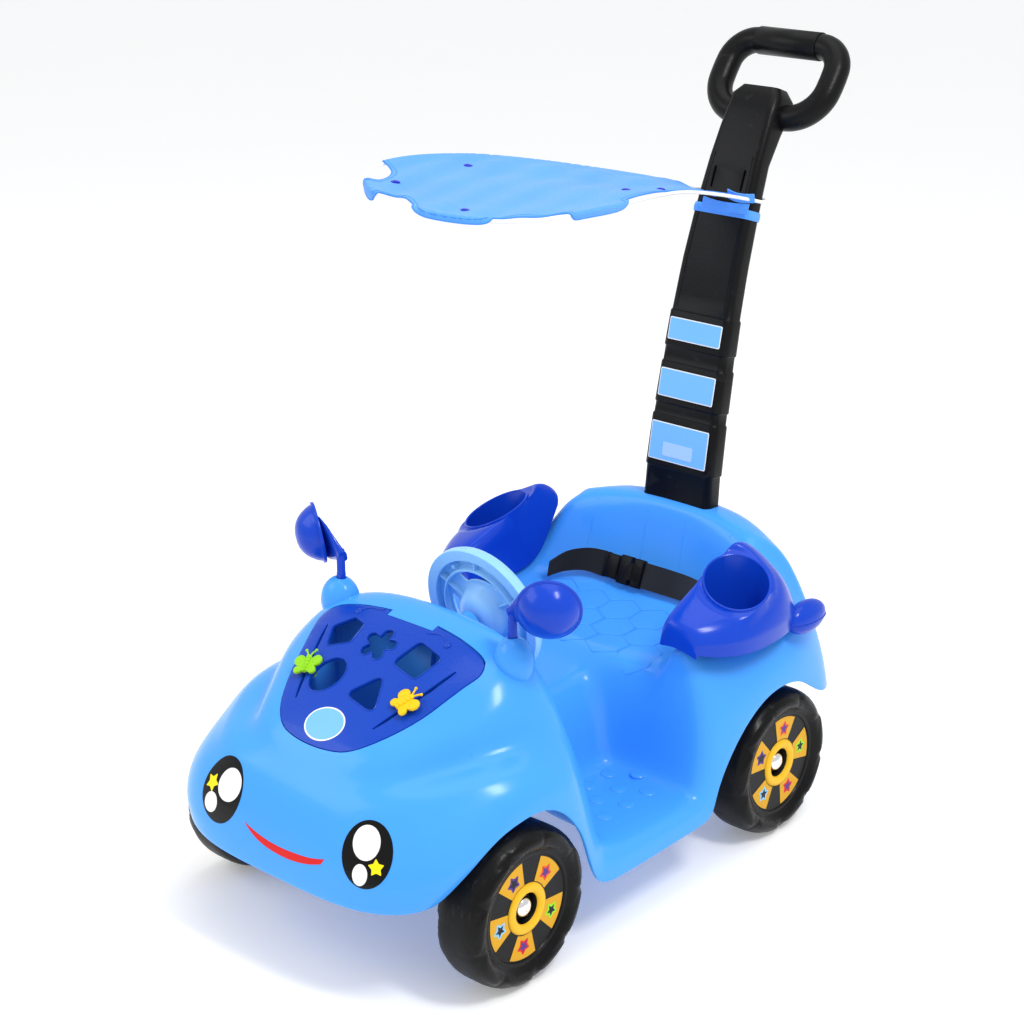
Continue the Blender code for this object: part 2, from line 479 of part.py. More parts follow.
BODY_SECTIONS = [
    # Nose, from its lower edge up to the bonnet
    [(0.000, -0.147, 0.105), (0.043, -0.147, 0.105), (0.083, -0.145, 0.105), (0.114, -0.140, 0.106),
     (0.137, -0.132, 0.108), (0.153, -0.123, 0.110), (0.163, -0.114, 0.112), (0.169, -0.106, 0.114),
     (0.171, -0.100, 0.115), (0.173, -0.094, 0.116)],
    [(0.000, -0.147, 0.128), (0.044, -0.147, 0.128), (0.086, -0.145, 0.128), (0.119, -0.141, 0.129),
     (0.143, -0.134, 0.130), (0.160, -0.124, 0.131), (0.171, -0.114, 0.131), (0.179, -0.104, 0.130),
     (0.182, -0.096, 0.129), (0.183, -0.088, 0.128)],
    [(0.000, -0.140, 0.162), (0.044, -0.139, 0.162), (0.086, -0.137, 0.161), (0.120, -0.131, 0.160),
     (0.146, -0.122, 0.159), (0.165, -0.111, 0.158), (0.179, -0.099, 0.156), (0.189, -0.087, 0.154),
     (0.193, -0.077, 0.152), (0.194, -0.067, 0.150)],
    [(0.000, -0.123, 0.198), (0.043, -0.121, 0.198), (0.084, -0.117, 0.196), (0.116, -0.110, 0.193),
     (0.143, -0.100, 0.188), (0.163, -0.088, 0.183), (0.179, -0.076, 0.178), (0.190, -0.064, 0.172),
     (0.196, -0.056, 0.167), (0.1975, -0.050, 0.1635)],
    [(0.000, -0.094, 0.233), (0.042, -0.093, 0.233), (0.081, -0.090, 0.229), (0.109, -0.083, 0.220),
     (0.135, -0.073, 0.211), (0.159, -0.061, 0.205), (0.178, -0.049, 0.198), (0.191, -0.037, 0.188),
     (0.197, -0.030, 0.180), (0.199, -0.027, 0.1745)],
    # Bonnet, with the fender beside it
    [(0.000, -0.055, 0.258), (0.044, -0.055, 0.258), (0.084, -0.053, 0.253), (0.109, -0.048, 0.240),
     (0.130, -0.040, 0.228), (0.156, -0.032, 0.221), (0.179, -0.023, 0.214), (0.195, -0.013, 0.204),
     (0.201, -0.007, 0.192), (0.2025, -0.004, 0.181)],
    [(0.000, -0.020, 0.279), (0.046, -0.020, 0.279), (0.089, -0.018, 0.275), (0.120, -0.013, 0.263),
     (0.140, -0.008, 0.244), (0.158, -0.002, 0.231), (0.179, 0.005, 0.222), (0.196, 0.012, 0.213),
     (0.204, 0.015, 0.199), (0.2055, 0.016, 0.185)],
    [(0.000, 0.022, 0.304), (0.046, 0.022, 0.304), (0.093, 0.023, 0.301), (0.128, 0.025, 0.290),
     (0.149, 0.027, 0.268), (0.163, 0.031, 0.240), (0.182, 0.034, 0.226), (0.199, 0.038, 0.215),
     (0.207, 0.038, 0.200), (0.209, 0.036, 0.182)],
    [(0.000, 0.058, 0.321), (0.046, 0.058, 0.321), (0.093, 0.058, 0.317), (0.129, 0.058, 0.304),
     (0.151, 0.058, 0.279), (0.166, 0.060, 0.243), (0.185, 0.062, 0.224), (0.201, 0.062, 0.211),
     (0.209, 0.060, 0.190), (0.211, 0.055, 0.169)],
    [(0.000, 0.083, 0.326), (0.046, 0.083, 0.325), (0.092, 0.083, 0.319), (0.128, 0.083, 0.304),
     (0.151, 0.083, 0.278), (0.168, 0.084, 0.242), (0.186, 0.084, 0.220), (0.202, 0.080, 0.200),
     (0.210, 0.074, 0.172), (0.212, 0.069, 0.151)],
    # Over the rear edge of the bonnet and down the dashboard
    [(0.000, 0.099, 0.323), (0.044, 0.099, 0.322), (0.088, 0.099, 0.315), (0.124, 0.100, 0.299),
     (0.147, 0.101, 0.272), (0.164, 0.102, 0.235), (0.182, 0.101, 0.207), (0.198, 0.095, 0.180),
     (0.209, 0.087, 0.152), (0.2125, 0.080, 0.134)],
    [(0.000, 0.109, 0.308), (0.042, 0.109, 0.307), (0.084, 0.110, 0.300), (0.118, 0.112, 0.283),
     (0.142, 0.114, 0.256), (0.160, 0.115, 0.220), (0.178, 0.114, 0.189), (0.195, 0.108, 0.157),
     (0.208, 0.098, 0.128), (0.213, 0.088, 0.108)],
    [(0.000, 0.118, 0.278), (0.036, 0.118, 0.277), (0.074, 0.119, 0.268), (0.108, 0.121, 0.243),
     (0.132, 0.123, 0.216), (0.153, 0.125, 0.184), (0.174, 0.125, 0.155), (0.194, 0.118, 0.128),
     (0.208, 0.107, 0.104), (0.2135, 0.096, 0.087)],
    [(0.000, 0.127, 0.240), (0.034, 0.127, 0.239), (0.066, 0.127, 0.226), (0.088, 0.128, 0.180),
     (0.115, 0.129, 0.160), (0.143, 0.130, 0.140), (0.172, 0.130, 0.122), (0.196, 0.125, 0.108),
     (0.210, 0.114, 0.092), (0.214, 0.104, 0.073)],
    # Footwell with the tunnel between the legs
    [(0.000, 0.140, 0.208), (0.034, 0.140, 0.207), (0.060, 0.138, 0.200), (0.072, 0.135, 0.125),
     (0.092, 0.134, 0.108), (0.128, 0.134, 0.104), (0.168, 0.135, 0.103), (0.197, 0.136, 0.101),
     (0.211, 0.130, 0.090), (0.2145, 0.120, 0.067)],
    [(0.000, 0.165, 0.201), (0.034, 0.165, 0.200), (0.060, 0.165, 0.193), (0.071, 0.162, 0.108),
     (0.084, 0.160, 0.098), (0.128, 0.158, 0.098), (0.170, 0.158, 0.098), (0.198, 0.157, 0.097),
     (0.212, 0.152, 0.089), (0.2145, 0.145, 0.066)],
    [(0.000, 0.260, 0.204), (0.034, 0.260, 0.203), (0.062, 0.258, 0.196), (0.072, 0.262, 0.108),
     (0.084, 0.264, 0.098), (0.128, 0.266, 0.098), (0.170, 0.266, 0.098), (0.197, 0.264, 0.097),
     (0.212, 0.268, 0.090), (0.2145, 0.272, 0.069)],
    [(0.000, 0.282, 0.212), (0.036, 0.280, 0.211), (0.070, 0.276, 0.203), (0.078, 0.280, 0.114),
     (0.090, 0.283, 0.103), (0.128, 0.286, 0.102), (0.168, 0.284, 0.102), (0.197, 0.280, 0.101),
     (0.211, 0.284, 0.094), (0.2145, 0.289, 0.071)],
    # Up the front of the seat
    [(0.000, 0.292, 0.219), (0.044, 0.290, 0.219), (0.086, 0.287, 0.211), (0.106, 0.290, 0.150),
     (0.120, 0.293, 0.140), (0.142, 0.296, 0.165), (0.164, 0.296, 0.165), (0.190, 0.293, 0.145),
     (0.208, 0.293, 0.113), (0.2145, 0.298, 0.079)],
    [(0.000, 0.302, 0.224), (0.048, 0.301, 0.224), (0.093, 0.298, 0.220), (0.122, 0.296, 0.210),
     (0.137, 0.296, 0.222), (0.148, 0.298, 0.256), (0.162, 0.301, 0.258), (0.184, 0.301, 0.210),
     (0.206, 0.302, 0.150), (0.2145, 0.304, 0.101)],
    # Seat and its side rails, low where the armrests sit over them
    [(0.000, 0.318, 0.222), (0.050, 0.318, 0.222), (0.096, 0.318, 0.222), (0.124, 0.316, 0.225),
     (0.138, 0.315, 0.236), (0.150, 0.314, 0.250), (0.165, 0.314, 0.251), (0.188, 0.314, 0.228),
     (0.208, 0.315, 0.172), (0.2145, 0.320, 0.128)],
    [(0.000, 0.350, 0.222), (0.050, 0.350, 0.222), (0.097, 0.350, 0.222), (0.125, 0.350, 0.225),
     (0.139, 0.350, 0.233), (0.150, 0.350, 0.240), (0.165, 0.350, 0.241), (0.190, 0.350, 0.228),
     (0.209, 0.350, 0.198), (0.214, 0.350, 0.160)],
    [(0.000, 0.388, 0.224), (0.050, 0.388, 0.224), (0.097, 0.388, 0.224), (0.125, 0.388, 0.227),
     (0.139, 0.388, 0.234), (0.150, 0.388, 0.240), (0.165, 0.388, 0.241), (0.190, 0.390, 0.231),
     (0.208, 0.390, 0.212), (0.2135, 0.390, 0.183)],
    [(0.000, 0.426, 0.229), (0.050, 0.426, 0.229), (0.094, 0.425, 0.230), (0.122, 0.424, 0.233),
     (0.136, 0.423, 0.237), (0.147, 0.424, 0.243), (0.160, 0.427, 0.245), (0.184, 0.430, 0.236),
     (0.206, 0.430, 0.220), (0.213, 0.428, 0.186)],
    # Backrest, its rim and the back of the body
    [(0.000, 0.458, 0.238), (0.048, 0.456, 0.238), (0.088, 0.450, 0.242), (0.112, 0.446, 0.254),
     (0.126, 0.446, 0.274), (0.134, 0.449, 0.290), (0.148, 0.456, 0.292), (0.177, 0.466, 0.258),
     (0.204, 0.468, 0.218), (0.2115, 0.462, 0.178)],
    [(0.000, 0.474, 0.262), (0.048, 0.472, 0.263), (0.086, 0.464, 0.270), (0.108, 0.459, 0.285),
     (0.121, 0.460, 0.302), (0.129, 0.464, 0.312), (0.145, 0.472, 0.306), (0.174, 0.487, 0.258),
     (0.202, 0.493, 0.205), (0.209, 0.489, 0.159)],
    [(0.000, 0.481, 0.318), (0.046, 0.479, 0.318), (0.084, 0.471, 0.318), (0.106, 0.468, 0.318),
     (0.119, 0.470, 0.319), (0.128, 0.477, 0.317), (0.143, 0.489, 0.304), (0.170, 0.507, 0.252),
     (0.199, 0.516, 0.192), (0.207, 0.515, 0.143)],
    [(0.000, 0.487, 0.333), (0.046, 0.487, 0.332), (0.086, 0.485, 0.329), (0.108, 0.485, 0.326),
     (0.126, 0.489, 0.321), (0.137, 0.497, 0.314), (0.150, 0.509, 0.298), (0.168, 0.526, 0.248),
     (0.190, 0.534, 0.188), (0.199, 0.534, 0.144)],
    [(0.000, 0.530, 0.334), (0.044, 0.529, 0.333), (0.080, 0.524, 0.330), (0.108, 0.518, 0.322),
     (0.126, 0.517, 0.311), (0.138, 0.520, 0.299), (0.149, 0.528, 0.278), (0.161, 0.541, 0.236),
     (0.174, 0.549, 0.188), (0.182, 0.551, 0.147)],
    [(0.000, 0.544, 0.305), (0.044, 0.543, 0.304), (0.080, 0.539, 0.300), (0.104, 0.536, 0.290),
     (0.122, 0.536, 0.275), (0.134, 0.538, 0.261), (0.143, 0.543, 0.243), (0.150, 0.551, 0.212),
     (0.156, 0.557, 0.178), (0.160, 0.560, 0.149)],
    [(0.000, 0.553, 0.240), (0.042, 0.552, 0.240), (0.076, 0.551, 0.236), (0.098, 0.549, 0.230),
     (0.112, 0.550, 0.222), (0.122, 0.551, 0.213), (0.129, 0.554, 0.202), (0.133, 0.558, 0.188),
     (0.136, 0.562, 0.168), (0.138, 0.563, 0.149)],
    [(0.000, 0.562, 0.150), (0.040, 0.562, 0.150), (0.072, 0.562, 0.149), (0.094, 0.563, 0.149),
     (0.104, 0.563, 0.149), (0.111, 0.564, 0.149), (0.116, 0.564, 0.149), (0.120, 0.564, 0.149),
     (0.124, 0.564, 0.149), (0.128, 0.564, 0.149)],
]


class Bonnet:
    """The outer surface of the body, asked where it lies under a point or beside the sloping lid plane."""

    def __init__(self, skin):
        wall = skin.modifiers["wall"]
        wall.show_viewport = False
        outside = evaluated_mesh(skin)
        wall.show_viewport = True
        corners = [vertex.co.copy() for vertex in outside.vertices]
        self.tree = BVHTree.FromPolygons(corners, [tuple(face.vertices) for face in outside.polygons])
        self.origin = at_axle(0.0, *LID_FRONT)
        self.slope = (at_axle(0.0, *LID_REAR) - self.origin).normalized()
        self.normal = Vector((1.0, 0.0, 0.0)).cross(self.slope)

    def lid_point(self, u, v, height):
        """The point u sideways and v up the lid's slope, that high above the bonnet."""
        start = self.origin + Vector((u, 0.0, 0.0)) + self.slope * v + self.normal * RAY_START
        found = self.tree.ray_cast(start, -self.normal)[0]
        return found + self.normal * height

    def top(self, x, y, height):
        """The point over world x, y that high above the body."""
        found = self.tree.ray_cast(Vector((x, y, 1.0)), Vector((0.0, 0.0, -1.0)))[0]
        return found + Vector((0.0, 0.0, height))


# Sorter lid and its bin

def both_sides(half):
    """A closed outline from its right half, listed from the front centre to the back."""
    left = [(-u, v) for u, v in reversed(half) if u > 0.0]
    return list(half) + left


def grown(points, distance):
    """The outline moved outward by a distance, or inward where it is negative."""
    moved = []
    for index, point in enumerate(points):
        here = Vector(point)
        first = (here - Vector(points[index - 1])).normalized()
        second = (Vector(points[(index + 1) % len(points)]) - here).normalized()
        first_side = Vector((first.y, -first.x))
        second_side = Vector((second.y, -second.x))
        middle = (first_side + second_side).normalized()
        reach = distance / max(0.5, middle.dot(first_side))
        moved.append(tuple(here + middle * reach))
    return moved


def star_points(centre, outer, inner, lobes, turn):
    """A soft star: three points round each lobe and one in each hollow."""
    points = []
    for lobe in range(lobes):
        middle = turn + lobe * math.tau / lobes
        for offset, reach in ((-0.42, 0.90), (0.0, 1.0), (0.42, 0.90)):
            angle = middle + offset * math.pi / lobes
            points.append((centre[0] + outer * reach * math.cos(angle),
                           centre[1] + outer * reach * math.sin(angle)))
        angle = middle + math.pi / lobes
        points.append((centre[0] + inner * math.cos(angle), centre[1] + inner * math.sin(angle)))
    return points


def rounded_polygon(corners, radius, steps=2):
    """A polygon whose corners are each a short curve."""
    points = []
    for index, corner in enumerate(corners):
        here = Vector(corner)
        to_before = (Vector(corners[index - 1]) - here).normalized()
        to_after = (Vector(corners[(index + 1) % len(corners)]) - here).normalized()
        reach = radius / math.tan(to_before.angle(to_after) / 2)
        start = here + to_before * reach
        end = here + to_after * reach
        for step in range(steps + 1):
            t = step / steps
            points.append(tuple(start * (1 - t) ** 2 + here * 2 * t * (1 - t) + end * t ** 2))
    return points


def ellipse_points(centre, radii, turn, count=14):
    points = []
    for step in range(count):
        angle = step * math.tau / count
        u = radii[0] * math.cos(angle)
        v = radii[1] * math.sin(angle)
        points.append((centre[0] + u * math.cos(turn) - v * math.sin(turn),
                       centre[1] + u * math.sin(turn) + v * math.cos(turn)))
    return points


def slot_outline(side):
    bottom = Vector(SLOT_BOTTOM)
    top = Vector(SLOT_TOP)
    run = (top - bottom).normalized()
    across = Vector((-run.y, run.x)) * SLOT_WIDTH / 2
    corners = [bottom + across, bottom - across, top - across, top + across]
    return [(side * corner.x, corner.y) for corner in corners]


def lid_holes():
    """Five shapes to post and the two slots that the butterflies slide in."""
    return [rounded_polygon(PENTAGON, 0.004), star_points(STAR_CENTRE, 0.0200, 0.0120, 5, math.radians(88)),
            rounded_polygon(SQUARE, 0.007), ellipse_points(OVAL_CENTRE, (0.0185, 0.0225), math.radians(-15)),
            rounded_polygon(TRIANGLE, 0.007), slot_outline(1), slot_outline(-1)]


def lid_hinge(bonnet):
    return bonnet.lid_point(0.0, HINGE_RUN, -HINGE_DEPTH)


def build_lid(bonnet):
    """A flat plate with holes, laid on the bonnet so that it takes the bonnet's own curve."""
    lid = outline_plate("sorter_lid", [both_sides(LID_HALF)] + lid_holes(), LID_THICKNESS, ROYAL_BLUE,
                        Matrix())
    bm = bmesh.new()
    bm.from_mesh(lid.data)
    for axis, lines in ((0, LID_BENDS_ACROSS), (1, LID_BENDS_ALONG)):
        for line in lines:
            through = [0.0, 0.0, 0.0]
            through[axis] = line
            facing = [0.0, 0.0, 0.0]
            facing[axis] = 1.0
            everything = bm.verts[:] + bm.edges[:] + bm.faces[:]
            bmesh.ops.bisect_plane(bm, geom=everything, plane_co=through, plane_no=facing)
    for vert in bm.verts:
        u, v, height = vert.co
        vert.co = bonnet.lid_point(u, v, height - LID_THICKNESS / 2 + TOUCH_GAP)
    bm.to_mesh(lid.data)
    bm.free()
    lid.data.set_sharp_from_angle(angle=SHARP_ANGLE)
    hinge = lid_hinge(bonnet)
    for side in (-1, 1):
        foot = (side * HINGE_PIN_PLACE, hinge.y, hinge.z)
        join(lid, cylinder("lid_pin", HINGE_PIN_RADIUS, HINGE_PIN_LENGTH, foot, (1, 0, 0), sides=8))
    centre_on(lid, hinge)
    print("lid hinge", tuple(round(value, 5) for value in hinge))


def build_bin(body, bonnet):
    """Opens the bonnet under the lid and moulds the bin into the opening."""
    outline = both_sides(LID_HALF)

    def ring(points, height):
        return [bonnet.lid_point(u, v, height) for u, v in points]

    def floor_ring(points, shrink, z):
        row = []
        for u, v in points:
            over = bonnet.lid_point(u, v, 0.0)
            row.append(Vector((over.x * shrink, BIN_CENTRE_Y + (over.y - BIN_CENTRE_Y) * shrink, z)))
        return row

    def eased(distance):
        """The lid's outline grown, with room behind the hinge for its rear edge to swing."""
        rows = []
        for (u, v), (_, lid_v) in zip(grown(outline, distance), outline):
            behind = lid_v > LEDGE_END and lid_v != NOTCH_FRONT
            rows.append((u, v + REAR_EASE if behind else v))
        return rows

    opening = eased(LID_CLEARANCE)
    cut(body, loft("lid_opening", [ring(opening, -0.020), ring(opening, 0.020)], None))

    outer = eased(LID_CLEARANCE + BIN_WALL)
    lining = eased(LID_CLEARANCE - TOUCH_GAP)
    ledge = []
    for (u, v), shelf in zip(lining, grown(outline, -LEDGE_WIDTH)):
        ledge.append((u * 0.996, v - 0.0003) if v > LEDGE_END else shelf)
    depth = LID_THICKNESS + TOUCH_GAP
    rings = [floor_ring(outer, 0.80, BIN_FLOOR), ring(outer, -0.0015), ring(lining, -0.0015),
             ring(lining, -depth), ring(ledge, -depth - TOUCH_GAP),
             floor_ring(ledge, 0.78, BIN_FLOOR + BIN_WALL)]
    join(body, loft("bin_wall", rings, None))

    hinge = lid_hinge(bonnet)
    join(body, box("hinge_block", (0.0600, 0.0100, 0.0060), hinge + Vector((0.0, 0.0045, -0.0022))))
    for side in (-1, 1):
        socket = cylinder("pin_socket", HINGE_PIN_RADIUS + 0.0003, 0.0100, (side * 0.0316, hinge.y, hinge.z),
                          (1, 0, 0), sides=8)
        cut(body, socket)


def butterfly_outline():
    """Four wing lobes round a body, with two feelers, pointing along +v."""
    half = [(0.0, -0.0115), (0.0030, -0.0105), (0.0035, -0.0080), (0.0080, -0.0125), (0.0120, -0.0100),
            (0.0125, -0.0050), (0.0090, -0.0010), (0.0135, 0.0010), (0.0155, 0.0060), (0.0120, 0.0105),
            (0.0070, 0.0095), (0.0035, 0.0055), (0.0055, 0.0150), (0.0040, 0.0155), (0.0015, 0.0085)]
    return both_sides(half)


def build_butterfly(label, look, side, bonnet):
    """The rider above the slot, its stem through it and a keeper below."""
    low = bonnet.lid_point(side * SLOT_BOTTOM[0], SLOT_BOTTOM[1], 0.0)
    high = bonnet.lid_point(side * SLOT_TOP[0], SLOT_TOP[1], 0.0)
    middle = Vector(SLOT_BOTTOM).lerp(Vector(SLOT_TOP), BUTTERFLY_REST)
    rest = bonnet.lid_point(side * middle.x, middle.y, 0.0)
    along = (high - low).normalized()
    across = along.cross(bonnet.normal).normalized()
    up = across.cross(along)
    turn = Matrix((across, along, up)).transposed().to_4x4()
    height = BUTTERFLY_LIFT + BUTTERFLY_THICKNESS / 2
    rider = outline_plate(f"butterfly_{label}", [butterfly_outline()], BUTTERFLY_THICKNESS, look,
                          Matrix.Translation(rest + up * height) @ turn)
    stem = box("butterfly_stem", (SLOT_WIDTH - 0.0010, 0.0070, STEM_LENGTH),
               rest + up * (STEM_TOP - STEM_LENGTH / 2),
               turn=turn)
    join(rider, stem)
    centre_on(rider, rest)
    foot = STEM_TOP - STEM_LENGTH - TOUCH_GAP - KEEPER_THICKNESS / 2
    keeper = box(f"butterfly_keeper_{label}", (0.0100, 0.0120, KEEPER_THICKNESS), rest + up * foot, look,
                 turn=turn)
    centre_on(keeper, rest)
    print("butterfly", label, "slides at", tuple(round(value, 5) for value in rest),
          "along", tuple(round(value, 5) for value in along), "slot", round((high - low).length, 4))


# Running gear

def build_wheels():
    for end, y in (("front", 0.0), ("rear", WHEELBASE)):
        for side, label in ((1, "left"), (-1, "right")):
            hub = at_axle(side * WHEEL_TRACK / 2, y, WHEEL_RADIUS)
            wheel = turned(f"wheel_{end}_{label}", WHEEL_PROFILE, BLACK_PLASTIC, WHEEL_SIDES, closed=True)
            face_along(wheel, hub, (side, 0, 0))
            cap = turned(f"axle_cap_{end}_{label}", CAP_PROFILE, CHROME, 12)
            face_along(cap, hub, (side, 0, 0))
            spacer = turned(f"axle_spacer_{end}_{label}", SPACER_PROFILE, BLACK_PLASTIC, 12, closed=True)
            face_along(spacer, hub, (side, 0, 0))
        cylinder(f"{end}_axle", AXLE_RADIUS, AXLE_LENGTH, at_axle(0.0, y, WHEEL_RADIUS), (1, 0, 0), STEEL, 16)


def axle_posts(body, bonnet):
    """Ribs that hang from the inside of the body and carry the axles."""
    for y in (0.0, WHEELBASE):
        for side in (1, -1):
            corners = [(side * POST_INNER, y - POST_HALF_DEPTH), (side * POST_OUTER, y - POST_HALF_DEPTH),
                       (side * POST_OUTER, y + POST_HALF_DEPTH), (side * POST_INNER, y + POST_HALF_DEPTH)]
            foot = [at_axle(x, post_y, POST_FOOT) for x, post_y in corners]
            head = [bonnet.top(point.x, point.y, -BODY_WALL / 2) for point in foot]
            middle = sum(foot, Vector()) / len(foot)
            inward = [middle.lerp(point, 0.4) for point in foot]
            crown = [bonnet.top(point.x, point.y, -BODY_WALL / 2) for point in inward]
            join(body, loft("axle_post", [foot, head, crown], None))
        bore = cylinder("axle_bore", AXLE_RADIUS + TOUCH_GAP, 0.330, at_axle(0.0, y, WHEEL_RADIUS), (1, 0, 0),
                        sides=16)
        cut(body, bore)


# Steering wheel: a play wheel that turns freely on a fixed spindle

def crescent_outline(middle):
    inner, outer = CRESCENT_RADII
    points = []
    for step in range(5):
        angle = middle + CRESCENT_ARC * (step / 4 - 0.5)
        points.append((outer * math.cos(angle), outer * math.sin(angle)))
    for step in range(4, -1, -1):
        angle = middle + CRESCENT_ARC * 0.84 * (step / 4 - 0.5)
        points.append((inner * math.cos(angle), inner * math.sin(angle)))
    return points


def build_steering(body):
    centre = at_axle(0.0, WHEEL_HUB_Y, WHEEL_HUB_Z)
    axis = Vector((0.0, math.sin(WHEEL_LEAN), math.cos(WHEEL_LEAN)))
    place = Matrix.Translation(centre) @ axis.to_track_quat("Z", "Y").to_matrix().to_4x4()
    wheel = turned("steering_wheel", HAND_WHEEL_PROFILE, PALE_BLUE, 24, closed=True)
    wheel.matrix_world = place
    for index in range(3):
        middle = math.radians(90) + index * math.tau / 3
        cut(wheel, outline_plate("crescent", [crescent_outline(middle)], 0.040, None, place))
    face_along(turned("steering_cap", HUB_CAP_PROFILE, ROYAL_BLUE, 16), centre, axis)
    cylinder("steering_spindle", AXLE_RADIUS, SPINDLE_TOP - SPINDLE_FOOT,
             centre + axis * (SPINDLE_TOP + SPINDLE_FOOT) / 2, axis, STEEL, 16)
    face_along(turned("spindle_clip", CLIP_PROFILE, STEEL, 12, closed=True), centre, axis)
    boss_middle = centre + axis * (BOSS_TOP + BOSS_FOOT) / 2
    join(body, cylinder("dash_boss", BOSS_RADIUS, BOSS_TOP - BOSS_FOOT, boss_middle, axis))
    cut(body, cylinder("spindle_bore", AXLE_RADIUS + TOUCH_GAP, 0.120, centre - axis * 0.040, axis, sides=16))
    print("steering axis through", tuple(round(value, 5) for value in centre),
          "along", tuple(round(value, 5) for value in axis))


# Mirrors

def build_mirrors(body):
    """Each mirror stands in a seat on the bonnet's shoulder and swivels on its stalk."""
    for side, label in ((1, "left"), (-1, "right")):
        foot = at_axle(side * MIRROR_FOOT[0], MIRROR_FOOT[1], MIRROR_FOOT[2])
        seat_middle = foot + Vector((side * MIRROR_SEAT_OUTWARD, 0.0, -MIRROR_SEAT_DROP))
        join(body, ellipsoid("mirror_boss", MIRROR_SEAT_RADII, seat_middle))
        cut(body, cylinder("mirror_socket", SOCKET_RADIUS, SOCKET_DEPTH + OVERCUT,
                           foot + Vector((0.0, 0.0, (OVERCUT - SOCKET_DEPTH) / 2)), (0, 0, 1), sides=16))
        facing = Vector((side * MIRROR_FACING[0], MIRROR_FACING[1], MIRROR_FACING[2])).normalized()
        rim = at_axle(side * MIRROR_RIM[0], MIRROR_RIM[1], MIRROR_RIM[2])
        mirror = turned(f"mirror_{label}", MIRROR_PROFILE, ROYAL_BLUE, 20)
        face_along(mirror, rim, facing)
        mirror = as_mesh_object(mirror, ROYAL_BLUE)
        stalk_middle = foot + Vector((0.0, 0.0, (STALK_TOP + STALK_FOOT) / 2))
        stalk = cylinder("mirror_stalk", STALK_RADII[0], STALK_TOP - STALK_FOOT, stalk_middle, (0, 0, 1),
                         sides=12, end_radius=STALK_RADII[1])
        start = foot + Vector((0.0, 0.0, NECK_START))
        end = start.lerp(rim, NECK_SHARE)
        neck = cylinder("mirror_neck", NECK_RADII[0], (end - start).length, (start + end) / 2, end - start,
                        sides=12, end_radius=NECK_RADII[1])
        join(mirror, stalk, neck)
        centre_on(mirror, foot)
        print("mirror", label, "turns at", tuple(round(value, 5) for value in foot))


# Armrests with a cup well and a tail knob, as cross sections from the inner edge out to the lower outer edge

ARMREST_SECTIONS = [
    [(0.141, 0.291, 0.259), (0.146, 0.291, 0.260), (0.153, 0.291, 0.261), (0.160, 0.291, 0.261),
     (0.167, 0.291, 0.260), (0.172, 0.291, 0.258), (0.175, 0.292, 0.256)],
    [(0.139, 0.290, 0.261), (0.142, 0.289, 0.267), (0.150, 0.288, 0.270), (0.160, 0.288, 0.270),
     (0.171, 0.289, 0.268), (0.179, 0.290, 0.264), (0.181, 0.292, 0.257)],
    [(0.137, 0.305, 0.256), (0.139, 0.303, 0.273), (0.147, 0.302, 0.282), (0.162, 0.302, 0.283),
     (0.182, 0.303, 0.277), (0.194, 0.305, 0.263), (0.193, 0.308, 0.252)],
    [(0.1365, 0.330, 0.246), (0.137, 0.328, 0.290), (0.147, 0.326, 0.303), (0.170, 0.326, 0.301),
     (0.199, 0.328, 0.286), (0.210, 0.330, 0.263), (0.207, 0.332, 0.249)],
    [(0.1365, 0.360, 0.242), (0.137, 0.360, 0.309), (0.147, 0.360, 0.320), (0.178, 0.360, 0.309),
     (0.209, 0.360, 0.292), (0.218, 0.360, 0.263), (0.215, 0.360, 0.247)],
    [(0.1365, 0.395, 0.244), (0.138, 0.396, 0.329), (0.146, 0.397, 0.339), (0.178, 0.397, 0.327),
     (0.210, 0.396, 0.302), (0.219, 0.395, 0.262), (0.216, 0.395, 0.246)],
    [(0.137, 0.420, 0.256), (0.138, 0.421, 0.326), (0.146, 0.421, 0.334), (0.176, 0.422, 0.328),
     (0.207, 0.422, 0.301), (0.216, 0.422, 0.260), (0.213, 0.422, 0.246)],
    [(0.138, 0.440, 0.292), (0.138, 0.441, 0.312), (0.145, 0.441, 0.321), (0.172, 0.444, 0.313),
     (0.199, 0.448, 0.287), (0.208, 0.450, 0.257), (0.205, 0.450, 0.245)],
    [(0.140, 0.452, 0.307), (0.141, 0.455, 0.312), (0.147, 0.457, 0.314), (0.166, 0.461, 0.293),
     (0.186, 0.465, 0.270), (0.195, 0.466, 0.254), (0.193, 0.465, 0.247)],
    [(0.141, 0.451, 0.303), (0.143, 0.454, 0.306), (0.148, 0.456, 0.307), (0.165, 0.459, 0.286),
     (0.184, 0.463, 0.263), (0.191, 0.463, 0.251), (0.190, 0.462, 0.247)],
]


def slanted_well(middle):
    """The outside of the cup well: a round bar cut off level with the armrest's sloping top."""
    bm = bmesh.new()
    bmesh.ops.create_cone(bm, cap_ends=True, segments=24, radius1=CUP_RADIUS, radius2=CUP_RADIUS, depth=0.200)
    bmesh.ops.translate(bm, vec=(middle.x, middle.y, CUP_FLOOR + 0.100), verts=bm.verts)
    sliced = bmesh.ops.bisect_plane(bm, geom=bm.verts[:] + bm.edges[:] + bm.faces[:], plane_co=middle,
                                    plane_no=Vector(CUP_LEAN), clear_outer=True)
    rim = [edge for edge in sliced["geom_cut"] if isinstance(edge, bmesh.types.BMEdge)]
    bmesh.ops.edgeloop_fill(bm, edges=rim)
    return add_object("cup_well", mesh_from(bm, "cup_well"))


